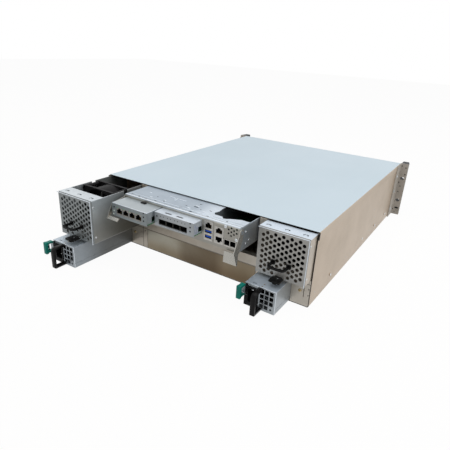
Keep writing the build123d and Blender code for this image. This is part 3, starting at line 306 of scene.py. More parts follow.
# Each finish, with the nodes that wear it and its settings
finishes = {
    # The chassis: its warm tan is a painted reflection over the zinc, and its dark band near the rear end
    # of each wall is painted shade in a seam
    "bodySheet": (zincSheet, ["chassis_tray"], sheet | {
        "tone": "C0AF9B", "shade": "B09F8A", "spangle": 16, "mottle": 0.1,
        "bands": [("Y", -271.0, 2.0, "38352F")]}),
    # The rear panel: painted lighter towards the right as painted light, painted shade in the seams at
    # the post's edge and above the blank, and its wide middle painted a little darker as painted shade
    "panelSheet": (zincSheet, ["rear_panel", "bay_frame"], sheet | {
        "tone": "C6C0B6", "shade": "B0A99D", "metallic": 0.5, "spangle": 8, "roll": rollAcross,
        "fades": [("X", 60, -60, "F8F5F1")],
        "bands": [("X", -132.9, 1.3, "4A463F"), ("Z", 41.4, 0.9, "4A463F"), ("X", 0, 290, "ECEAE8")]}),
    # The cover: the warm tan of its bare flanges is a painted reflection, and the dark strip along its
    # rear edge is painted shadow
    "coverFilm": (filmedSheet, ["top_cover"], {
        "tone": "CFDFE9", "shade": "C9DAE4", "edge": 131.6, "bareTone": "C2B3A1",
        "bareShade": "B4A491", "cloud": 200, "wrinkle": (16.7, 111, 16.7),
        "fades": [("Y", -266.9, -267.3, "5A5753")]}),
    # The lower blank: painted darker and warmer towards the right and towards the bottom, as painted
    # shade and reflection; painted shade in the seams at its sides and top; its middle painted a little
    # darker, as painted shade
    "blankSheet": (zincSheet, ["lower_blank"], sheet | {
        "tone": "B0AC9F", "shade": "98927F", "metallic": 0.55, "roughness": 0.33, "spangle": 30,
        "roll": rollAcross, "mottle": 0.08,
        "fades": [("X", -90, 40, "CDBEAC"), ("Z", 34, 4, "DCCFBF")],
        "bands": [("X", -121.9, 1.4, "3D3931"), ("X", 121.9, 1.4, "3D3931"),
                  ("Z", 40.4, 1.2, "4A453C"), ("X", 5, 110, "CCC6BE")]}),
    "cageSheet": (zincSheet, ["drive_cage"], sheet | {
        "tone": "B9B9B6", "shade": "A6A6A2", "metallic": 0.6, "spangle": 9, "mottle": 0.2,
        "bump": 0.12}),
    # The two fans' faces are one finish in a shaded and a lit copy: the left is painted darker as painted
    # shade, the right lighter and warmer as painted light
    "fanFaceLeftPaintedShade": (zincSheet, ["fan_left_grille"], fanFace | {"tone": "8D9293", "shade": "808687"}),
    "fanFaceRightPaintedLight": (zincSheet, ["fan_right_grille"], fanFace | {"tone": "A9A8A5", "shade": "9B9A96"}),
    # The left fan's case: below its top the sides are painted darker, more so downwards and towards the
    # chassis, as painted shade with a warm painted reflection
    "fanCaseLeftPaintedShade": (zincSheet, ["fan_left_cage"], sheet | {
        "tone": "D9E0E5", "shade": "C9D1D7",
        "fades": [("Z", 128.5, 127.9, "DDDFDF"), ("Z", 124, 60, "C4BCB2"), ("Y", -385, -290, "BDB9B3")]}),
    # The right fan's case: its bluish top and warm tan sides are painted reflections
    "fanCaseRightPaintedReflection": (zincSheet, ["fan_right_cage"], sheet | {
        "tone": "DEE9F5", "shade": "CEDAE7", "fades": [("Z", 128.5, 127.9, "E2CBB2")]}),
    # The two supplies' cases are one finish in a shaded and a lit copy, the right painted lighter as
    # painted light. Below their tops the sides are painted darker as painted shade, the left one's more
    # so towards the chassis
    "psuLeftSheet": (zincSheet, ["psu_left_case"], psuCase | {
        "tone": "CCD8E2", "shade": "BAC6D1",
        "fades": [("Z", 42.7, 42.1, "C6C4C2"), ("Y", -404, -330, "B3AEA6")]}),
    "psuRightSheet": (zincSheet, ["psu_right_case"], psuCase | {
        "tone": "D6E3F0", "shade": "C4D1DE", "fades": [("Z", 42.7, 42.1, "C6C2BC")]}),
    # The canister: below its top the walls are painted darker as painted shade, and its face warmer as
    # painted reflection
    "canisterSheet": (zincSheet, ["canister_tray"], canisterMetal | {
        "tone": "C3CED8", "shade": "AFBBC6", "roughness": 0.34, "roll": rollAcross,
        "fades": [("Z", 128.2, 126.0, "CFCDCB"), ("Y", -326.9, -327.5, "FFF0DC")]}),
    # The lid: painted darker towards the left as painted shade, and painted shade in the creases at its
    # hem and its bead
    "canisterLid": (zincSheet, ["canister_cover"], canisterMetal | {
        "tone": "D5DFE9", "shade": "C4CFDA", "roughness": 0.33, "mottle": 0.2,
        "fades": [("X", 50, 15, "CDD2D6")],
        "bands": [("Y", -323.0, 1.5, "4E555C"), ("Y", -315.4, 0.8, "7A828A")]}),
    "brightSheet": (zincSheet, onBoth("lever_*"), sheet | {
        "tone": "B1AFA9", "shade": "A5A39C", "metallic": 0.75, "roughness": 0.26, "spangle": 14,
        "mottle": 0.04, "bump": 0.04}),
    # Each card's face is painted darker than its top, as painted shade
    "cardLeftSheet": (zincSheet, ["card_left_case"], cardCase | {
        "tone": "B7BFC3", "shade": "A8B0B4", "fades": [("Y", -363.4, -363.9, "B9BBBA")]}),
    "cardRightSheet": (zincSheet, ["card_right_case"], cardCase | {
        "tone": "D9E1EA", "shade": "C8D1DB", "fades": [("Y", -348.2, -348.7, "BFBDB9")]}),
    "trayMetal": (zincSheet, trays, sheet | {
        "tone": "A3A6A8", "shade": "8E9193", "metallic": 0.6, "roughness": 0.4, "spangle": 4,
        "roll": rollAcross, "mottle": 0.1}),
    "fanMoulding": (mouldedPlastic, onBoth("fan_*_housing", "fan_*_rotor", "psu_*_rotor"), {
        "tone": "141314", "shade": "0F0E0F", "roughness": 0.5, "grain": 0.5, "bump": 0.2}),
    "handleMoulding": (mouldedPlastic, onBoth("fan_*_handle", "fan_*_latch", "psu_*_handle"), {
        "tone": "0F0E0F", "shade": "0A090A", "roughness": 0.3, "grain": 0.6, "bump": 0.12}),
    "inletMoulding": (mouldedPlastic, onBoth("psu_*_inlet"), {
        "tone": "0E0E0F", "shade": "0A0A0B", "roughness": 0.45, "grain": 0.4, "bump": 0.15}),
    "gripLeft": (grippedArm, ["psu_left_latch"], tealGrip | {"arm": -415.0, "bar": -418.0}),
    "gripRight": (grippedArm, ["psu_right_latch"], tealGrip | {"arm": -327.5, "bar": -330.5}),
    "capMoulding": (mouldedPlastic, ["ear_caps"], {
        "tone": "2A2C2F", "shade": "222427", "roughness": 0.45, "grain": 0.6, "bump": 0.2}),
    "buttonMoulding": (mouldedPlastic, ["power_button"], {
        "tone": "D3D7DA", "shade": "C6CACD", "roughness": 0.35, "grain": 0.5, "bump": 0.1}),
    "earCoat": (powderCoat, ["rack_ears"], {
        "tone": "B9B3AB", "shade": "ABA59C", "roughness": 0.5, "peel": 1.0}),
    "boardMask": (solderMask, onBoth("card_*_board") + ["drive_backplane"], {
        "tone": "2C7C4E", "shade": "276F46", "track": "3C9161"}),
    # The controller board deep inside the canister: its mask is painted near black, as painted shade
    "boardMaskPaintedShade": (solderMask, ["canister_board"], {
        "tone": "12301F", "shade": "0E271A", "track": "1C4530"}),
    # The left card's jack shells are painted darker, as painted shade
    "cardLeftShells": (lippedConnector, ["card_left_sockets"], {
        "tone": "9A9792", "shade": "85827D", "inside": "0C0C0D", "rim": -363.0}),
    "cardRightShells": (lippedConnector, ["card_right_sockets"], {
        "tone": "55534E", "shade": "45433F", "inside": "0D0D0E", "rim": -346.5}),
    "portShells": (lippedConnector, ["canister_ports"], {
        "tone": "BFBDB8", "shade": "ABA9A4", "inside": "0C0C0D", "rim": -328.2}),
    # The small pieces that this script adds
    "usbBlue": (mouldedPlastic, [], {
        "tone": "2F6CEB", "shade": "285FD4", "roughness": 0.35, "grain": 0.4, "bump": 0.08}),
    "contactGold": (zincSheet, [], smallMetal | {"tone": "D9B45A", "shade": "C29A3F", "roughness": 0.25}),
    "dullBrass": (zincSheet, [], smallMetal | {
        "tone": "B4A27C", "shade": "9A8862", "metallic": 0.8, "roughness": 0.35}),
    # Black moulding; the same finish serves as painted shade on the dark sheets in the gaps, the lid's
    # slots and the cards' holes and slots
    "blackPlasticAndPaintedShade": (mouldedPlastic, [], {
        "tone": "0E0E0F", "shade": "0A0A0B", "roughness": 0.42, "grain": 0.4, "bump": 0.15}),
    "plateSteel": (zincSheet, [], smallMetal | {
        "tone": "747678", "shade": "606264", "metallic": 0.8, "roughness": 0.3}),
    # Steel painted lighter than the sheet it belongs to, as painted highlight: the lid's pressings and
    # the sheets' bends
    "paintedHighlightSteel": (zincSheet, [], smallMetal | {
        "tone": "E6EEF6", "shade": "D6DFE9", "metallic": 0.5, "roughness": 0.3, "spangle": 9,
        "bump": 0.08}),
    "screwSteel": (zincSheet, [], smallMetal | {
        "tone": "D9DDE0", "shade": "C2C7CB", "roughness": 0.22, "spangle": 2, "roll": rollAcross}),
    "greenLens": (mouldedPlastic, [], {
        "tone": "79C58C", "shade": "5FB274", "roughness": 0.2, "grain": 0.5, "bump": 0.03}),
    "paleLens": (mouldedPlastic, [], {
        "tone": "EAF3EC", "shade": "D8E6DC", "roughness": 0.2, "grain": 0.5, "bump": 0.03}),
    "chipPlastic": (mouldedPlastic, [], {
        "tone": "232425", "shade": "1B1C1D", "roughness": 0.5, "grain": 0.3, "bump": 0.15}),
    "leverTeal": (mouldedPlastic, [], {
        "tone": "1F8A7B", "shade": "1A7A6D", "roughness": 0.35, "grain": 0.5, "bump": 0.12}),
}
materials = {}
for finish, (make, members, spec) in finishes.items():
    materials[finish] = make(finish, spec)
    for name in members:
        slots = nodes[name].data.materials
        slots.clear()
        slots.append(materials[finish])
missing = [name for name in nodes if not any(name in entry[1] for entry in finishes.values())]
print("finishes made:", len(materials), "without one:", missing)


# Modelling steps that the small pieces share; every size and place is given in millimetres
def deselect():
    if bpy.context.object and bpy.context.object.mode == "EDIT":
        bpy.ops.object.mode_set(mode="OBJECT")
    bpy.ops.object.select_all(action="DESELECT")


def startBlock(low, high):
    # A block between two corners, left in object mode
    deselect()
    bpy.ops.mesh.primitive_cube_add(size=1, location=[(a + b) / 2 * mm for a, b in zip(low, high)])
    block = bpy.context.object
    block.scale = [(b - a) * mm for a, b in zip(low, high)]
    bpy.ops.object.transform_apply(location=True, rotation=True, scale=True)
    return block


def startRound(radius, height, segments):
    # A short cylinder that stands on the origin
    deselect()
    bpy.ops.mesh.primitive_cylinder_add(vertices=segments, radius=radius * mm, depth=height * mm,
                                        location=(0, 0, height / 2 * mm))
    bpy.ops.object.transform_apply(location=True, rotation=True, scale=True)
    return bpy.context.object


def selectTop(piece, way, least=0.9):
    # In edit mode, the faces that look one way and lie furthest that way
    bpy.ops.object.mode_set(mode="EDIT")
    bpy.ops.mesh.select_mode(type="FACE")
    bpy.ops.mesh.select_all(action="DESELECT")
    mesh = bmesh.from_edit_mesh(piece.data)
    way = Vector(way)
    furthest = max(face.calc_center_median().dot(way) for face in mesh.faces)
    for face in mesh.faces:
        if face.normal.dot(way) > least and face.calc_center_median().dot(way) > furthest - 0.02 * mm:
            face.select = True
    bmesh.update_edit_mesh(piece.data)


def soften(piece, width, segments=2):
    if bpy.context.object.mode == "EDIT":
        bpy.ops.object.mode_set(mode="OBJECT")
    edge = piece.modifiers.new("edge", "BEVEL")
    edge.width = width * mm
    edge.segments = segments
    edge.limit_method = "ANGLE"
    bpy.ops.object.modifier_apply(modifier="edge")


def softBlock(low, high, width, segments=2):
    block = startBlock(low, high)
    soften(block, width, segments)
    return block


def blockOf(spec, origin):
    # A softened block whose two ends along x, y and z are counted from an origin
    low, high = ([start + spec[axis][end] for start, axis in zip(origin, "xyz")] for end in (0, 1))
    return softBlock(low, high, spec["soft"], spec.get("segments", 2))


def softRound(spec):
    piece = startRound(spec["radius"], spec["height"], spec["segments"])
    soften(piece, spec["soft"])
    return piece


def raiseTop(piece, way, inset, rise):
    # Draws the top in and lifts it, or sinks it where the rise is below zero
    selectTop(piece, way)
    bpy.ops.mesh.inset(thickness=inset * mm)
    bpy.ops.transform.translate(value=[part * rise * mm for part in way])
    bpy.ops.object.mode_set(mode="OBJECT")


def headOf(spec):
    head = startRound(spec["radius"], spec["height"], spec["segments"])
    raiseTop(head, upward, spec["inset"], spec["rise"])
    if spec["soft"]:
        soften(head, spec["soft"])
    return head


def roundEdges(piece, touches, width, segments):
    # Bevels the edges whose two ends both pass a test on their place
    bpy.ops.object.mode_set(mode="EDIT")
    bpy.ops.mesh.select_mode(type="EDGE")
    bpy.ops.mesh.select_all(action="DESELECT")
    mesh = bmesh.from_edit_mesh(piece.data)
    for edge in mesh.edges:
        edge.select = all(touches(vertex.co / mm) for vertex in edge.verts)
    bmesh.update_edit_mesh(piece.data)
    bpy.ops.mesh.bevel(offset=width * mm, segments=segments, affect="EDGES")
    bpy.ops.object.mode_set(mode="OBJECT")


def cutOut(piece, cutter):
    deselect()
    bpy.context.view_layer.objects.active = piece
    opening = piece.modifiers.new("opening", "BOOLEAN")
    opening.operation = "DIFFERENCE"
    opening.object = cutter
    bpy.ops.object.modifier_apply(modifier="opening")
    bpy.data.objects.remove(cutter)


def facing(points, way):
    return [(point, way) for point in points]


def copies(model, places):
    # One joined mesh of copies; a place is a point and the way that +Z then points
    made = []
    for point, way in places:
        copy = model.copy()
        copy.data = model.data.copy()
        turn = Vector(way).to_track_quat("Z", "Y").to_matrix().to_4x4()
        copy.data.transform(Matrix.Translation(Vector(point) * mm) @ turn)
        scene.collection.objects.link(copy)
        made.append(copy)
    return joined(made)


def joined(pieces):
    deselect()
    for piece in pieces:
        piece.select_set(True)
    bpy.context.view_layer.objects.active = pieces[0]
    if len(pieces) > 1:
        bpy.ops.object.join()
    return bpy.context.object


def mount(piece, name, finish, body):
    deselect()
    piece.select_set(True)
    bpy.context.view_layer.objects.active = piece
    bpy.ops.object.shade_smooth_by_angle(angle=math.radians(35))
    piece.name = name
    piece.data.name = name
    piece.data.materials.clear()
    piece.data.materials.append(materials[finish])
    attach(piece, body)


def corners(node):
    low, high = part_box(node)
    return low / mm, high / mm


# Faces that the small pieces are placed from
portsProud = 0.4    # how far the ports' shells stand out of the canister's face
canisterFace = corners("canister_ports")[0].y + portsProud
canisterWall = 119.5
lidTop = corners("canister_cover")[1].z
cardFace = {side: corners(f"card_{side}_case")[0].y for side in sides}
psuFace = {side: corners(f"psu_{side}_case")[0].y for side in sides}
psuMiddle = {side: sum(end.x for end in corners(f"psu_{side}_case")) / 2 for side in sides}

# Domed rivet heads, a little sunk into the sheet; each is placed by its depth and its height
rivet = {"radius": 1.8, "height": 0.5, "segments": 20, "inset": 0.6, "rise": 0.4, "soft": 0.15,
         "sunk": 0.4, "fan": ((6.6, 116.8), (8.3, 61.3)),
         "canister": ((17.7, 118.6), (28.7, 101.5), (19.7, 98.0))}
rivetModel = headOf(rivet)


def rivetsOn(walls, rear, spots):
    return copies(rivetModel, [((x, rear + deep, z), way) for x, way in walls for deep, z in spots])


for side in sides:
    low, high = corners(f"fan_{side}_cage")
    walls = ((low.x + rivet["sunk"], toLeft), (high.x - rivet["sunk"], toRight))
    rear = corners(f"fan_{side}_grille")[0].y
    mount(rivetsOn(walls, rear, rivet["fan"]), f"fan_{side}_rivets", "screwSteel", f"fan_{side}")
walls = ((-canisterWall, toLeft), (canisterWall, toRight))
mount(rivetsOn(walls, canisterFace, rivet["canister"]), "canister_rivets", "screwSteel", "canister")

# Pan-head screws with a cross recess
screw = {"radius": 2.7, "height": 1.5, "segments": 28, "inset": 0.9, "rise": 0.35, "soft": 0.25,
         "slotWide": 0.8, "slotLong": 3.2, "slotDeep": 0.9,
         "canister": ((94.0, 126.6), (114.7, 109.5)),
         "panel": ((204.2, 26.6), (-155.0, 26.6)), "panelSunk": 0.6,
         "earSide": 224.0, "earSetback": 28, "earHeights": (20, 66, 104)}
screwModel = headOf(screw)
half = screw["slotLong"] / 2
thin = screw["slotWide"] / 2
bottom = screw["height"] + screw["rise"] - screw["slotDeep"]
for x, y in ((half, thin), (thin, half)):
    cutOut(screwModel, startBlock((-x, -y, bottom), (x, y, bottom + screw["height"])))

places = facing([(x, canisterFace, z) for x, z in screw["canister"]], toRear)
mount(copies(screwModel, places), "canister_screws", "screwSteel", "canister")
panelFace = corners("rear_panel")[0].y + screw["panelSunk"]
places = facing([(x, panelFace, z) for x, z in screw["panel"]], toRear)
mount(copies(screwModel, places), "panel_screws", "dullBrass", "chassis")
along = corners("rack_ears")[1].y - screw["earSetback"]
places = [((out * screw["earSide"], along, z), (out, 0, 0)) for out in (-1, 1)
          for z in screw["earHeights"]]
mount(copies(screwModel, places), "ear_screws", "screwSteel", "chassis")

# Domes on the walls' pressed bosses and one on the plain wall, with small dimples between
stud = {"radius": 2.5, "height": 0.3, "segments": 24, "inset": 0.9, "rise": 0.5, "soft": 0.15,
        "bossTop": 223.0, "bosses": ((-180.6, 21.0), (102.0, 21.0), (192.4, 21.0)),
        "plain": (11.7, 20.0)}
dimple = {"radius": 1.1, "height": 0.2, "segments": 16, "inset": 0.45, "rise": 0.2, "soft": 0,
          "wall": 222.0, "spots": ((-251.0, 20.3), (-94.6, 20.4), (62.8, 21.0), (74.6, 67.0),
                                   (90.2, 44.6), (170.5, 43.2))}
studModel = headOf(stud)
dimpleModel = headOf(dimple)
for side, out in (("left", -1), ("right", 1)):
    points = [(out * stud["bossTop"], *spot) for spot in stud["bosses"]]
    points.append((out * dimple["wall"], *stud["plain"]))
    mount(copies(studModel, facing(points, (out, 0, 0))), f"wall_{side}_studs", "screwSteel", "chassis")
    points = [(out * dimple["wall"], *spot) for spot in dimple["spots"]]
    mount(copies(dimpleModel, facing(points, (out, 0, 0))), f"wall_{side}_dimples", "screwSteel",
          "chassis")

# Black blocks in the gaps behind the cover's side flanges, at the rear corners: painted shade
gap = {"inner": 222.6, "outer": 223.12, "y": (-270.9, -268.0), "z": (119.2, 130.2), "soft": 0.1}
gap_shades = []
for out in (-1, 1):
    across = sorted((out * gap["inner"], out * gap["outer"]))
    gap_shades.append(blockOf(gap | {"x": across}, (0, 0, 0)))
mount(joined(gap_shades), "corner_gaps", "blackPlasticAndPaintedShade", "chassis")
print("fasteners, studs and gaps made")

# The lid's folded hem, a bead behind it, and pressed bosses, all painted lighter than the lid as painted
# highlight. A boss is given by its place across, its depth behind the face, its length, its width and its
# turn in degrees, and a slot by the first four;
# the slots are black sheets that stand for the shade in the lid's holes, painted shade.
hem = {"x": (-118.6, 118.6), "y": (0.1, 4.4), "z": (-0.1, 0.5), "soft": 0.25}
bead = {"x": (-117.5, 61.5), "y": (11.2, 12.6), "z": (-0.1, 0.4), "soft": 0.35}
boss = {"z": (-0.1, 0.55), "soft": 0.5,
        "spots": ((9.0, 17.5, 6.5, 3.0, 0), (15.8, 33.5, 7.0, 3.0, 0), (39.6, 18.3, 6.0, 3.0, 0),
                  (-73.4, 17.2, 5.0, 3.0, 0), (-44.0, 20.2, 4.0, 3.0, 0), (-43.5, 40.5, 14.5, 1.6, -12),
                  (-24.0, 40.0, 20.0, 1.6, 4), (-32.0, 35.5, 1.8, 9.0, 0), (-90.0, 34.0, 5.0, 2.4, 0))}
lidSlotShade = {"z": (-0.2, 0.12), "soft": 0.1,
           "spots": ((44.7, 29.7, 5.0, 1.6), (-111.4, 10.6, 2.6, 2.6), (-92.8, 7.3, 4.0, 1.6),
                     (-56.0, 8.4, 4.0, 1.6), (-42.6, 14.7, 3.0, 1.4), (53.8, 8.2, 4.0, 1.6),
                     (14.4, 44.4, 4.0, 1.4), (89.6, 9.7, 3.0, 1.6), (-1.0, 24.0, 3.4, 1.2),
                     (-66.0, 26.0, 3.4, 1.2), (28.5, 24.6, 2.6, 1.2))}
pressings = [blockOf(spec, (0, canisterFace, lidTop)) for spec in (hem, bead)]
for x, deep, long, wide, turn in boss["spots"]:
    pressing = blockOf(boss | {"x": (-long / 2, long / 2), "y": (-wide / 2, wide / 2)}, (0, 0, 0))
    pressing.data.transform(Matrix.Translation(Vector((x, canisterFace + deep, lidTop)) * mm)
                            @ Matrix.Rotation(math.radians(turn), 4, "Z"))
    pressings.append(pressing)
mount(joined(pressings), "lid_pressings", "paintedHighlightSteel", "canister")
slots = [blockOf(lidSlotShade | {"x": (-long / 2, long / 2), "y": (-wide / 2, wide / 2)},
                 (x, canisterFace + deep, lidTop)) for x, deep, long, wide in lidSlotShade["spots"]]
mount(joined(slots), "lid_slot_shades", "blackPlasticAndPaintedShade", "canister")

# A black clip on the left card, where it slides under the hem
clip = {"low": (-75.8, -7.4, 125.2), "high": (-65.6, -2.2, 126.7), "inset": 0.9, "rise": 0.5,
        "soft": 0.3}
low, high = ((x, canisterFace + y, z) for x, y, z in (clip["low"], clip["high"]))
clipBlock = startBlock(low, high)
raiseTop(clipBlock, upward, clip["inset"], clip["rise"])
soften(clipBlock, clip["soft"])
mount(clipBlock, "card_left_clip", "blackPlasticAndPaintedShade", "card_left")

# Blue tongues of the stacked ports, with four contacts each
tongue = {"heights": (99.7, 108.7), "x": (56.2, 67.8), "y": (0.3, 13.0), "z": (-1.15, 1.05),
          "soft": 0.3}
contact = {"first": 58.3, "pitch": 2.45, "x": (-0.6, 0.6), "y": (1.4, 8.0), "z": (1.0, 1.2),
           "soft": 0.08, "segments": 1}
tongues = []
contacts = []
for z in tongue["heights"]:
    tongues.append(blockOf(tongue, (0, canisterFace, z)))
    for number in range(4):
        contacts.append(blockOf(contact, (contact["first"] + number * contact["pitch"], canisterFace, z)))
mount(joined(tongues), "usb_tongues", "usbBlue", "canister")
mount(joined(contacts), "usb_contacts", "contactGold", "canister")

# Eight sprung contacts in a modular jack, placed from the middle of the jack's mouth; they rise from
# a foot on the side away from the catch
jack = {"wires": 8, "pitch": 1.02, "wide": 0.36, "thick": 0.3, "start": 4.0, "first": 1.2, "long": 6.5,
        "foot": 3.2, "rise": 1.9, "card": (-97.6, -83.1, -68.6, -54.1), "cardHeight": 111.5,
        "canister": (((61.9, 118.0), True), ((82.2, 114.5), True), ((82.2, 101.6), False))}


def jackContacts(footLow):
    up = 1 if footLow else -1
    foot = -up * jack["foot"]
    wires = []
    for number in range(jack["wires"]):
        x = (number - (jack["wires"] - 1) / 2) * jack["pitch"]
        wire = startBlock((x - jack["wide"] / 2, jack["start"], foot - jack["thick"] / 2),
                          (x + jack["wide"] / 2, jack["start"] + jack["first"], foot + jack["thick"] / 2))
        selectTop(wire, toFront)
        bpy.ops.mesh.extrude_region_move(TRANSFORM_OT_translate={
            "value": (0, jack["long"] * mm, up * jack["rise"] * mm)})
        bpy.ops.object.mode_set(mode="OBJECT")
        wires.append(wire)
    return joined(wires)


def jacksAt(places, name, body):
    sets = []
    for point, footLow in places:
        wires = jackContacts(footLow)
        wires.data.transform(Matrix.Translation(Vector(point) * mm))
        sets.append(wires)
    mount(joined(sets), name, "contactGold", body)


jacksAt([((x, canisterFace, z), footLow) for (x, z), footLow in jack["canister"]], "port_contacts",
        "canister")
jacksAt([((x, cardFace["left"], jack["cardHeight"]), True) for x in jack["card"]],
        "card_left_contacts", "card_left")

# Status lenses: two pale ones beside the jacks and a green one over each
lens = {"radius": 0.9, "height": 0.5, "segments": 16, "soft": 0.2, "aside": -4.6, "sunk": 0.3,
        "level": 118.6}
paleLens = {"radius": 1.35, "height": 0.6, "segments": 16, "soft": 0.3,
            "spots": ((-110.0, 111.4), (-111.0, 105.5))}
lensModel = softRound(lens)
paleModel = softRound(paleLens)
places = facing([(x, cardFace["left"], z) for x, z in paleLens["spots"]], toRear)
mount(copies(paleModel, places), "card_left_pale_lenses", "paleLens", "card_left")
places = facing([(x + lens["aside"], cardFace["left"] + lens["sunk"], lens["level"])
                 for x in jack["card"]], toRear)
mount(copies(lensModel, places), "card_left_green_lenses", "greenLens", "card_left")

# Black discs in the holes of both card faces, painted shade that makes the holes read dark: three on the
# right, one on the left, and a thin pair over each transceiver cage
holeShade = {"radius": 1.45, "height": 1.2, "segments": 20, "soft": 0.2, "sunk": 1.15,
        "heights": (109.6, 116.5, 123.3), "lone": 118.3,
        "ends": {"left": (-42.8, -109.8), "right": (41.2, -27.2)}}
thinHoleShade = {"radius": 0.85, "height": 1.0, "segments": 14, "soft": 0.15, "sunk": 1.0, "level": 119.7,
            "beside": (-3.1, 3.1)}
cage = {"across": (-16.2, -1.6, 13.0, 27.6)}
holeShadeModel = softRound(holeShade)
thinHoleShadeModel = softRound(thinHoleShade)
for side, (right, left) in holeShade["ends"].items():
    back = cardFace[side] + holeShade["sunk"]
    points = [(right, back, z) for z in holeShade["heights"]] + [(left, back, holeShade["lone"])]
    mount(copies(holeShadeModel, facing(points, toRear)), f"card_{side}_hole_shades", "blackPlasticAndPaintedShade",
          f"card_{side}")
points = [(x + dx, cardFace["right"] + thinHoleShade["sunk"], thinHoleShade["level"])
          for x in cage["across"] for dx in thinHoleShade["beside"]]
mount(copies(thinHoleShadeModel, facing(points, toRear)), "card_right_thin_hole_shades", "blackPlasticAndPaintedShade", "card_right")

# Dark sheets under the slots on top of the right card: painted shade inside the slots
pad = {"across": (-8.2, 15.6), "x": (-6.6, 6.6), "y": (4.8, 7.8), "z": (124.2, 124.7), "soft": 0.2}
slot_shades = [blockOf(pad, (x, cardFace["right"], 0)) for x in pad["across"]]
mount(joined(slot_shades), "card_right_pads", "blackPlasticAndPaintedShade", "card_right")

# Sprung fingers under the mouths of the transceiver cages, their tips bent down
finger = {"count": 4, "first": -4.8, "pitch": 3.2, "half": 1.1, "out": 1.1, "in": 6, "low": 104.7,
          "high": 105.0, "droop": 1.1}
fingers = []
for x in cage["across"]:
    for number in range(finger["count"]):
        middle = x + finger["first"] + number * finger["pitch"]
        strip = startBlock((middle - finger["half"], cardFace["right"] - finger["out"], finger["low"]),
                           (middle + finger["half"], cardFace["right"] + finger["in"], finger["high"]))
        selectTop(strip, toRear)
        bpy.ops.transform.translate(value=(0, 0, -finger["droop"] * mm))
        bpy.ops.object.mode_set(mode="OBJECT")
        fingers.append(strip)
mount(joined(fingers), "cage_fingers", "screwSteel", "card_right")
print("lid, ports and cards dressed")

# Inlet pins, flat with rounded tips
pin = {"spots": ((3.5, 0.0), (-3.5, 7.0), (-3.5, -7.0)),
       "x": (-2.06, 2.06), "y": (6.5, 21.6), "z": (-1.06, 1.06), "soft": 0.5}
for side in sides:
    low, high = corners(f"psu_{side}_inlet")
    middle = (low + high) / 2
    pins = [blockOf(pin, (middle.x + dx, low.y, middle.z + dz)) for dx, dz in pin["spots"]]
    mount(joined(pins), f"psu_{side}_inlet_pins", "screwSteel", f"psu_{side}")

# Black surround of each inlet, which fills the face to its left edge; the latch keeps its pocket.
# Brass screws on top, and on the latch a steel plate with its rivets and a moulded grip
surround = [{"x": across, "y": (-1.5, -0.05), "z": heights, "soft": 0.4} for across, heights in
            (((-27.0, -22.4), (2.8, 19.4)), ((-22.4, -2.5), (2.8, 8.4)), ((-21.7, -2.5), (36.6, 38.4)))]
brass = {"aside": 1.1, "depths": (3.6, 10.6)}
latchPlate = {"x": (-30.0, -28.8), "y": (-12.4, -7.6), "z": (23.9, 37.7), "soft": 0.3,
              "rivetDepth": -9.6, "rivetHeights": (27.0, 34.6)}
grip = {"x": (-33.3, -25.5), "y": (-17.2, -12.0), "z": (18.8, 41.6), "soft": 1.1, "segments": 3}
for side in sides:
    origin = (psuMiddle[side], psuFace[side], 0)
    psu, latch = f"psu_{side}", f"psu_{side}_latch"
    mount(joined([blockOf(plate, origin) for plate in surround]), f"{psu}_surround", "blackPlasticAndPaintedShade", psu)
    top = corners(f"{psu}_case")[1].z
    points = [(origin[0] + brass["aside"], origin[1] + deep, top) for deep in brass["depths"]]
    mount(copies(dimpleModel, facing(points, upward)), f"{psu}_brass_screws", "dullBrass", psu)
    mount(blockOf(latchPlate, origin), f"{psu}_latch_plate", "plateSteel", latch)
    points = [(origin[0] + latchPlate["x"][1], origin[1] + latchPlate["rivetDepth"], z)
              for z in latchPlate["rivetHeights"]]
    mount(copies(dimpleModel, facing(points, toRight)), f"{psu}_latch_rivets", "screwSteel", latch)
    mount(blockOf(grip, origin), f"{psu}_grip", "leverTeal", latch)

# A soft pad and its screw on each fan latch
fanPad = {"x": 0.2, "proud": 0.3, "long": 15.5, "deep": 1.6, "high": 0.7, "soft": 0.7,
          "screw": (1.5, 11.0, 0.65)}
for side in sides:
    low, high = corners(f"fan_{side}_latch")
    latch = f"fan_{side}_latch"
    latchPad = softBlock((low.x + fanPad["x"], low.y - fanPad["proud"], high.z - fanPad["deep"]),
                         (high.x - fanPad["x"], low.y + fanPad["long"], high.z + fanPad["high"]),
                         fanPad["soft"])
    mount(latchPad, f"{latch}_pad", "blackPlasticAndPaintedShade", latch)
    aside, deep, rise = fanPad["screw"]
    points = [((low.x + high.x) / 2 + aside, low.y + deep, high.z + rise)]
    mount(copies(dimpleModel, facing(points, upward)), f"{latch}_screw", "screwSteel", latch)

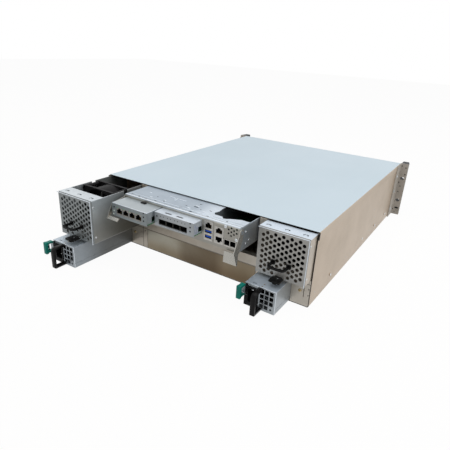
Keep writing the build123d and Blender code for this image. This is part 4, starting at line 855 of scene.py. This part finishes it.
# Pull handles of the power supplies: a rounded loop, with its upper corner swept
handle = {"left": 3.65, "right": 4.85, "reach": 24.2, "low": 2.8, "high": 42.1, "thick": 4.2,
          "sweep": 9.0, "heel": 2.5, "edge": 1.0, "through": 12, "behind": 3, "near": 0.1}
halfway = (handle["low"] + handle["high"]) / 2
for side in sides:
    middle = psuMiddle[side]
    outside = psuFace[side] - handle["reach"]
    loop = startBlock((middle - handle["left"], outside, handle["low"]),
                      (middle + handle["right"], psuFace[side], handle["high"]))
    rim = outside + handle["near"]
    roundEdges(loop, lambda co: co.y < rim and co.z > halfway, handle["sweep"], 8)
    roundEdges(loop, lambda co: co.y < rim and co.z < halfway, handle["heel"], 4)
    inside = outside + handle["thick"]
    hole = startBlock((middle - handle["through"], inside, handle["low"] + handle["thick"]),
                      (middle + handle["through"], psuFace[side] + handle["behind"],
                       handle["high"] - handle["thick"]))
    rim = inside + handle["near"]
    roundEdges(hole, lambda co: co.y < rim and co.z > halfway, handle["sweep"] - handle["thick"], 6)
    cutOut(loop, hole)
    soften(loop, handle["edge"])
    mount(loop, f"psu_{side}_pull", "handleMoulding", f"psu_{side}")
    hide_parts(f"psu_{side}_handle")
print("power supplies and fan latches dressed")

# Components on the controller board, seen through the lid's cut-out. A chip is given by its place
# across, its depth behind the face, its width, its length and its height.
board = {"floor": 88.0, "standoff": 3.5, "thick": 1.6}
capacitor = {"radius": 3.2, "height": 8.0, "segments": 24, "inset": 0.5, "rise": -0.25, "soft": 0.3,
             "spots": ((62, 46), (70, 46), (78, 44), (104, 48), (112, 40))}
chip = {"soft": 0.2, "spots": ((88, 42, 12, 12, 1.6), (66, 36, 8, 6, 1.4), (104, 36, 7, 5, 1.4),
                               (60, 28, 5, 4, 1.2), (96, 30, 6, 4, 1.2))}
boardTop = board["floor"] + board["standoff"] + board["thick"]
canModel = headOf(capacitor)
points = [(x, canisterFace + deep, boardTop) for x, deep in capacitor["spots"]]
mount(copies(canModel, facing(points, upward)), "board_capacitors", "screwSteel", "canister")
chips = [blockOf(chip | {"x": (-wide / 2, wide / 2), "y": (-long / 2, long / 2), "z": (0, high)},
                 (x, canisterFace + deep, boardTop)) for x, deep, wide, long, high in chip["spots"]]
mount(joined(chips), "board_chips", "chipPlastic", "canister")

# Drive trays: a teal release with a sunk face, and two lenses on each bezel
release = {"x": (-16, -8), "y": (-3, 0.8), "half": 6, "inset": 1.2, "rise": -0.6, "soft": 0.5,
           "lensAside": 4.5, "lensSunk": 3.6, "lensHeights": (5, -5)}
for tray in trays:
    low, high = corners(tray)
    middle = (low.z + high.z) / 2
    name = tray.replace("drive_", "")
    button = startBlock((high.x + release["x"][0], high.y + release["y"][0], middle - release["half"]),
                        (high.x + release["x"][1], high.y + release["y"][1], middle + release["half"]))
    raiseTop(button, toFront, release["inset"], release["rise"])
    soften(button, release["soft"])
    mount(button, f"{name}_release", "leverTeal", tray)
    points = [(low.x + release["lensAside"], high.y - release["lensSunk"], middle + dz)
              for dz in release["lensHeights"]]
    mount(copies(lensModel, facing(points, toFront)), f"{name}_lenses", "greenLens", tray)
print("drive trays dressed:", len(trays))

# Rounded outer bends of the folded sheets, which catch the light along the edges; their steel is painted
# lighter than the sheets, as painted highlight. An edge is named by the axis it runs along and the sides
# of the box that it joins.
bend = {"size": 1.1, "proud": 0.12, "radius": 0.45}
faceTop = (0, {1: -1, 2: 1})
faceRight = (2, {1: -1, 0: 1})
topRight = (1, {0: 1, 2: 1})
folded = {"card": ("case", (faceTop, topRight), "card_sheet"),
          "fan": ("grille", (faceTop, faceRight), "fan_case_sheet"),
          "psu": ("case", (faceTop, faceRight), "psu_sheet")}


def bendsOf(node, edges):
    low, high = corners(node)
    bars = []
    for along, ends in edges:
        start = list(low)
        stop = list(high)
        for axis, end in ends.items():
            outer = high[axis] + bend["proud"] if end > 0 else low[axis] - bend["proud"]
            inner = outer - end * bend["size"]
            start[axis], stop[axis] = min(outer, inner), max(outer, inner)
        bars.append(softBlock(start, stop, bend["radius"]))
    return joined(bars)


for side in sides:
    for module, (piece, edges, slot) in folded.items():
        mount(bendsOf(f"{module}_{side}_{piece}", edges), f"{module}_{side}_bends", "paintedHighlightSteel",
              f"{module}_{side}")

for model in (rivetModel, screwModel, lensModel, paleModel, holeShadeModel, thinHoleShadeModel, canModel, studModel,
              dimpleModel):
    bpy.data.objects.remove(model)
print("small pieces made")

# The camera stands to the right of the rear and looks down on it
cameraView = {"place": (0.40884, -0.83622, 0.38484), "turn": (66.766, -2.8417, 33.1545),
              "lens": 34.038, "sensor": 36, "nearest": 0.01}
camera = bpy.data.objects.new("camera", bpy.data.cameras.new("camera"))
scene.collection.objects.link(camera)
camera.location = cameraView["place"]
camera.rotation_euler = [math.radians(angle) for angle in cameraView["turn"]]
camera.data.lens = cameraView["lens"]
camera.data.sensor_width = cameraView["sensor"]
camera.data.clip_start = cameraView["nearest"]
scene.camera = camera

# Studio: pale floor and world that show as white, and two soft lamps, each with its place, size, power
studio = {"floorSize": 12.0, "floorTone": (0.52, 0.5, 0.48, 1), "floorGlow": 1.04, "glowShare": 0.92,
          "white": (1, 1, 1, 1), "worldLevel": 0.4,
          "lamps": {"overhead": ((0.1, -0.6, 2.3), 2.4, 25), "side": ((1.9, 0.2, 1.2), 1.4, 13)}}


def seenBySight(material):
    # 1 for what the camera sees, straight, in a reflection or through glass, and 0 for what lights
    path = addNode(material, "ShaderNodeLightPath").outputs
    first = addNode(material, "ShaderNodeMath", {"operation": "ADD"},
                    {0: path["Is Camera Ray"], 1: path["Is Glossy Ray"]})
    second = addNode(material, "ShaderNodeMath", {"operation": "ADD", "use_clamp": True},
                     {0: first.outputs["Value"], 1: path["Is Transmission Ray"]})
    return second.outputs["Value"]


def makeFloor():
    deselect()
    bpy.ops.mesh.primitive_plane_add(size=studio["floorSize"])
    floor = bpy.context.object
    floor.name = "floor"
    material = bpy.data.materials.new("paleFloor")
    material.use_nodes = True
    material.node_tree.nodes.clear()
    share = addNode(material, "ShaderNodeMath", {"operation": "MULTIPLY", 1: studio["glowShare"]},
                    {0: seenBySight(material)})
    matt = addNode(material, "ShaderNodeBsdfDiffuse", {"Color": studio["floorTone"]})
    glow = addNode(material, "ShaderNodeEmission", {"Color": studio["white"],
                                                    "Strength": studio["floorGlow"]})
    both = addNode(material, "ShaderNodeMixShader", {}, {0: share.outputs["Value"],
                                                         1: matt.outputs["BSDF"],
                                                         2: glow.outputs["Emission"]})
    addNode(material, "ShaderNodeOutputMaterial", links={"Surface": both.outputs["Shader"]})
    floor.data.materials.append(material)


def makeWorld():
    world = bpy.data.worlds.new("studio")
    world.use_nodes = True
    world.node_tree.nodes.clear()
    level = addNode(world, "ShaderNodeMapRange", {"To Min": studio["worldLevel"], "To Max": 1.0},
                    {"Value": seenBySight(world)})
    light = addNode(world, "ShaderNodeBackground", {"Color": studio["white"]},
                    {"Strength": level.outputs["Result"]})
    addNode(world, "ShaderNodeOutputWorld", links={"Surface": light.outputs["Background"]})
    scene.world = world


def makeLamps():
    for name, (place, size, power) in studio["lamps"].items():
        lamp = bpy.data.objects.new(name, bpy.data.lights.new(name, "AREA"))
        scene.collection.objects.link(lamp)
        lamp.data.size = size
        lamp.data.energy = power
        lamp.location = place
        lamp.rotation_euler = Vector(place).to_track_quat("Z", "Y").to_euler()


makeFloor()
makeWorld()
makeLamps()
scene.view_settings.view_transform = "Standard"
print("studio made")
